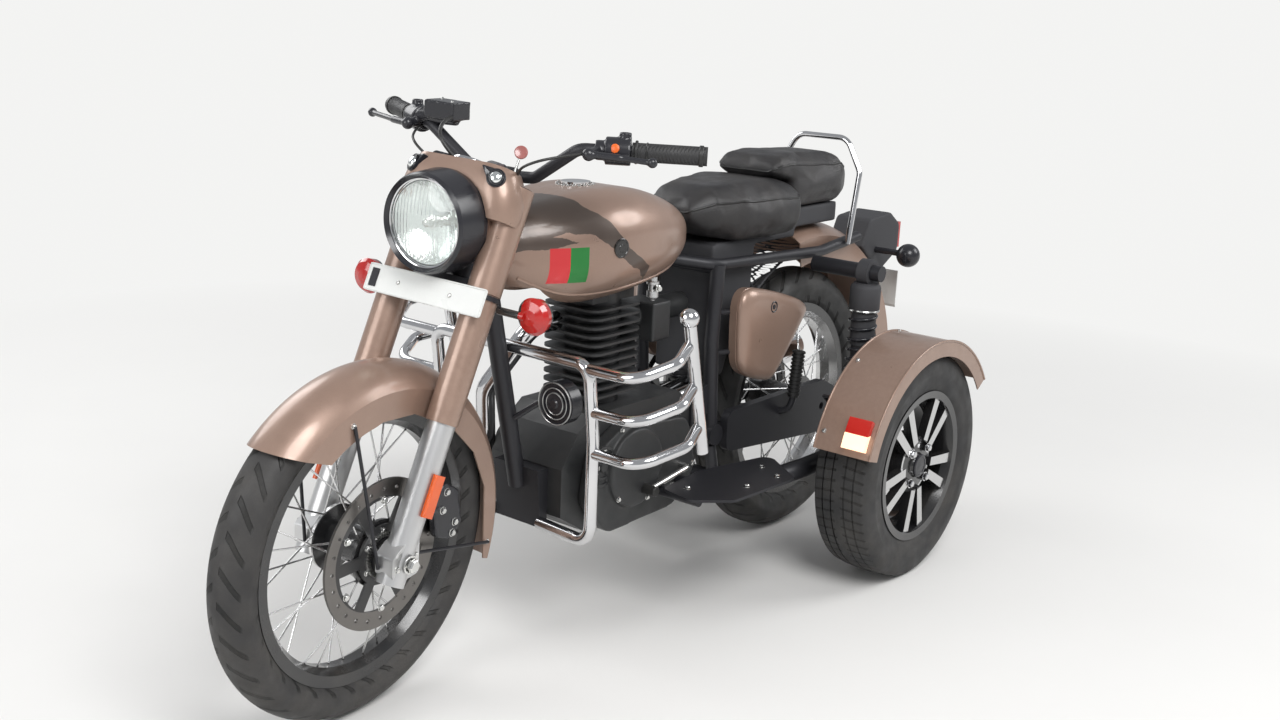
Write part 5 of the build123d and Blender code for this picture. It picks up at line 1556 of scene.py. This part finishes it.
@dataclass
class SideUnit:
    """One side wheel's nuts and cap, the guard's rivets and the shock absorber's coil."""

    side: int

    def build(self) -> None:
        """Make the unit's small parts."""
        side, tag = self.side, SIDES[self.side]
        way, body, node = Vector((0, side, 0)), f"{tag}_wheel_set", f"side_wheel_{tag}"
        starts = [about(SIDE_AXLE, 50, math.radians(45 + 90 * k), side * 600) for k in range(4)]
        SHOP.screws(f"lug_nuts_{tag}", seats(node, starts, way, 8.5), CHROME, body)
        hit = cast_on(node, about(SIDE_AXLE, 0, 0, side * 600), -way)
        if hit:
            cap = [(-3, 0), (-3, 27), (1.5, 27), (3, 25), (3, 21), (2, 20), (2, 8), (3, 0)]
            SHOP.turned(f"wheel_cap_{tag}", cap, hit[0], way, GLOSS_BLACK, body, 56)
        places = []
        for a in (math.radians(angle) for angle in (24, 60, 96, 132)):
            found = cast_on("side_mudguards", about(SIDE_AXLE, 400, a, side * 336),
                            -Vector((math.cos(a), 0, math.sin(a))))
            if found:
                places.append((*found, 4.2))
        SHOP.screws(f"guard_rivets_{tag}", places, BRIGHT, "chassis", 14)
        Spring(at(69.4, side * 254, 340), at(63.8, side * 254, 598), 30.5, 11).build(f"shock_{tag}")
        cover = [(0, 25), (0, 34), (3, 35.5), (52, 35.5), (58, 33), (62, 28), (62, 25), (0, 25)]
        SHOP.turned(f"shock_cover_{tag}", cover, at(63.8, side * 254, 602), UP, PLASTIC, "chassis")
        for y, edge in ((460, "outer"), (322, "inner")):
            arc = [about(SIDE_AXLE, 296, math.radians(16 + 130 * k / 60), side * y) for k in range(61)]
            SHOP.tube(f"guard_bead_{edge}_{tag}", arc, 2.6, PAINT, "chassis", smooth=False)


@dataclass
class Studio:
    """Floor, backdrop, lamps and the photograph's camera."""

    eye: Vector
    yaw: float = -141.06
    pitch: float = -15.07
    roll: float = 2.28
    focal: float = 1403.0
    wide: float = 1280.0
    offset: tuple[float, float] = (-14.1, 15.4)
    pale: tuple[float, float, float, float] = (0.9, 0.9, 0.89, 1.0)

    def build(self) -> None:
        """Make the studio."""
        self.camera()
        self.floor()
        self.world()
        for name, place, energy, size in (
            ("key_lamp", (1.5, 2.6, 3.4), 120.0, 2.2), ("front_lamp", (4.2, -0.8, 2.2), 70.0, 2.6),
            ("back_lamp", (-2.8, 2.4, 2.8), 60.0, 2.0), ("right_lamp", (0.2, -3.6, 2.8), 60.0, 2.6),
        ):
            light = bpy.data.lights.new(name, "AREA")
            light.energy, light.shape, light.size = energy, "DISK", size
            lamp = placed(name, light)
            lamp.location = place
            lamp.rotation_euler = (Vector((0, 0, 0.5)) - Vector(place)).to_track_quat("-Z", "Y").to_euler()

    def camera(self) -> None:
        """The camera at the photograph's angle."""
        yaw, pitch, roll = (math.radians(a) for a in (self.yaw, self.pitch, self.roll))
        ahead = Vector((math.cos(pitch) * math.cos(yaw), math.cos(pitch) * math.sin(yaw), math.sin(pitch)))
        right = Vector((math.sin(yaw), -math.cos(yaw), 0))
        up = right.cross(ahead)
        across = math.cos(roll) * right + math.sin(roll) * up
        over = -math.sin(roll) * right + math.cos(roll) * up
        data = bpy.data.cameras.new("camera")
        data.sensor_width, data.lens = 36.0, self.focal / self.wide * 36.0
        data.shift_x, data.shift_y = -self.offset[0] / self.wide, self.offset[1] / self.wide
        data.clip_start, data.clip_end = 0.05, 60.0
        made = placed("camera", data)
        made.matrix_world = Matrix.Translation(self.eye) @ Matrix((across, over, -ahead)).transposed().to_4x4()
        bpy.context.scene.camera = made

    def floor(self) -> None:
        """A plain pale floor."""
        form = bmesh.new()
        bmesh.ops.create_grid(form, x_segments=8, y_segments=8, size=30.0)
        mesh = bpy.data.meshes.new("floor")
        form.to_mesh(mesh)
        form.free()
        made = placed("floor", mesh)
        made.data.materials.append(self.floor_material())

    def floor_material(self) -> bpy.types.Material:
        """Matt and pale, running out into the backdrop's colour far from the machine."""
        material = bpy.data.materials.new("floor_pale")
        material.use_nodes = True
        t = Tree(material.node_tree)
        grain = t.node("TexNoise", {"Vector": t.place(), "Scale": 3.0, "Detail": 5.0}).outputs[0]
        colour = t.mix(grain, (0.77, 0.76, 0.74, 1.0), (0.8, 0.79, 0.77, 1.0))
        matt = t.node("BsdfPrincipled", {"Base Color": colour, "Roughness": 0.8})
        pale = t.node("Emission", {"Color": self.pale, "Strength": 1.0})
        away = t.node("VectorMath", {0: t.place()}, operation="LENGTH").outputs["Value"]
        path = t.node("LightPath").outputs
        seen = t.math("MAXIMUM", path["Is Camera Ray"], t.math("MAXIMUM", path["Is Glossy Ray"],
                                                              path["Is Transmission Ray"]))
        share = t.math("MULTIPLY", t.spread(away, 1.3, 3.6), seen)
        both = t.node("MixShader", {0: share, 1: matt.outputs[0], 2: pale.outputs[0]})
        t.node("OutputMaterial", {"Surface": both.outputs[0]})
        return material

    def world(self) -> None:
        """Soft grey light all round, and a pale background where the camera and glass see it."""
        world = bpy.data.worlds.new("studio")
        bpy.context.scene.world = world
        world.use_nodes = True
        t = Tree(world.node_tree)
        path = t.node("LightPath").outputs
        seen = t.math("MAXIMUM", path["Is Camera Ray"], path["Is Transmission Ray"])
        lit = t.node("Background", {"Color": (0.8, 0.82, 0.85, 1.0), "Strength": 0.5})
        pale = t.node("Background", {"Color": self.pale, "Strength": 1.0})
        both = t.node("MixShader", {0: seen, 1: lit.outputs[0], 2: pale.outputs[0]})
        t.node("OutputWorld", {"Surface": both.outputs[0]})


def cushions() -> list[Cushion]:
    """The rider's saddle and the pillion pad, with their piping."""
    rider = [(486, 40, 838), (440, 94, 862), (360, 126, 866), (260, 144, 868), (180, 141, 862), (146, 100, 856)]
    pillion = [(212, 60, 908), (190, 90, 924), (138, 98, 928), (40, 98, 924), (-60, 96, 920), (-96, 76, 900)]
    made = []
    for node, cap, rows in (("rider_seat", 9.0, rider), ("pillion_seat", 8.0, pillion)):
        loop = [at(x, y, z) for x, y, z in rows] + [at(x, -y, z) for x, y, z in reversed(rows)]
        made.append(Cushion(node, cap, loop))
    return made


def tyres() -> list[Tyre]:
    """Every tyre of the machine."""
    made = [
        Tyre("front_tyre", "front_wheel_set", about(FRONT_AXLE, 0, 0, 0), 322, 92, 241.3, (), FRONT_TREAD),
        Tyre("rear_tyre", "rear_wheel_set", about(REAR_AXLE, 0, 0, 0), 328, 112, 228.6, (12.0,), REAR_TREAD),
    ]
    for side, tag in SIDES.items():
        centre = about(SIDE_AXLE, 0, 0, side * 377)
        made.append(Tyre(f"side_tyre_{tag}", f"{tag}_wheel_set", centre, 266, 142, 165.1, (14.0, 36.0), CAR_TREAD,
                         car=True))
    return made


def wheel_finish(finish: RingedFinish, axle: tuple[float, float], tag: str) -> RingedFinish:
    """The same ringed finish about another axle, its name ended by the tag."""
    return replace(finish, name=f"{finish.name}_{tag}", centre=((axle[0] - DATUM_X) / 1000, axle[1] / 1000))


def main() -> None:
    """Dress the machine, part by part."""
    logging.basicConfig(level=logging.INFO, format="%(name)s %(message)s")
    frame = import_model()
    bpy.context.scene.view_settings.view_transform = "Standard"
    SHOP.nodes = frame["nodes"]
    Studio(EYE).build()
    for finish, names in NODE_FINISHES.items():
        finish.dress(*(SHOP.nodes[name] for name in names.split()))
    for axle, tag in ((FRONT_AXLE, "front"), (REAR_AXLE, "rear")):
        wheel_finish(SPOKES, axle, tag).dress(SHOP.nodes[f"{tag}_wheel"])
        wheel_finish(DISC, axle, tag).dress(SHOP.nodes[f"{tag}_disc"])
    wheel_finish(MACHINED, SIDE_AXLE, "side").dress(*(SHOP.nodes[f"side_wheel_{tag}"] for tag in SIDES.values()))
    for part in (
        *tyres(), FrontWheelTrim(about(FRONT_AXLE, 0, 0, 0), 63.2), Headlamp(at(1191.5, 0, 884)), FrontEnd(),
        TankTrim(), EngineTrim(), BodyTrim(), *(SideUnit(side) for side in SIDES), *cushions(),
        Rounded("tail_lamp", PLASTIC, 0.003, 24), Rounded("carburettor", ENGINE_BLACK, 0.0025, 8),
        Rounded("engine_covers", ENGINE_BLACK, 0.0035, 10), Rounded("seat_base", PLASTIC, 0.004, 6),
        Rounded("front_caliper", GLOSS_BLACK, 0.0022, 6, "steering"),
        Rounded("controls", GLOSS_BLACK, 0.0022, 5, "steering"),
    ):
        part.build()
        LOG.info("made %s", type(part).__name__)


if __name__ == "__main__":
    main()
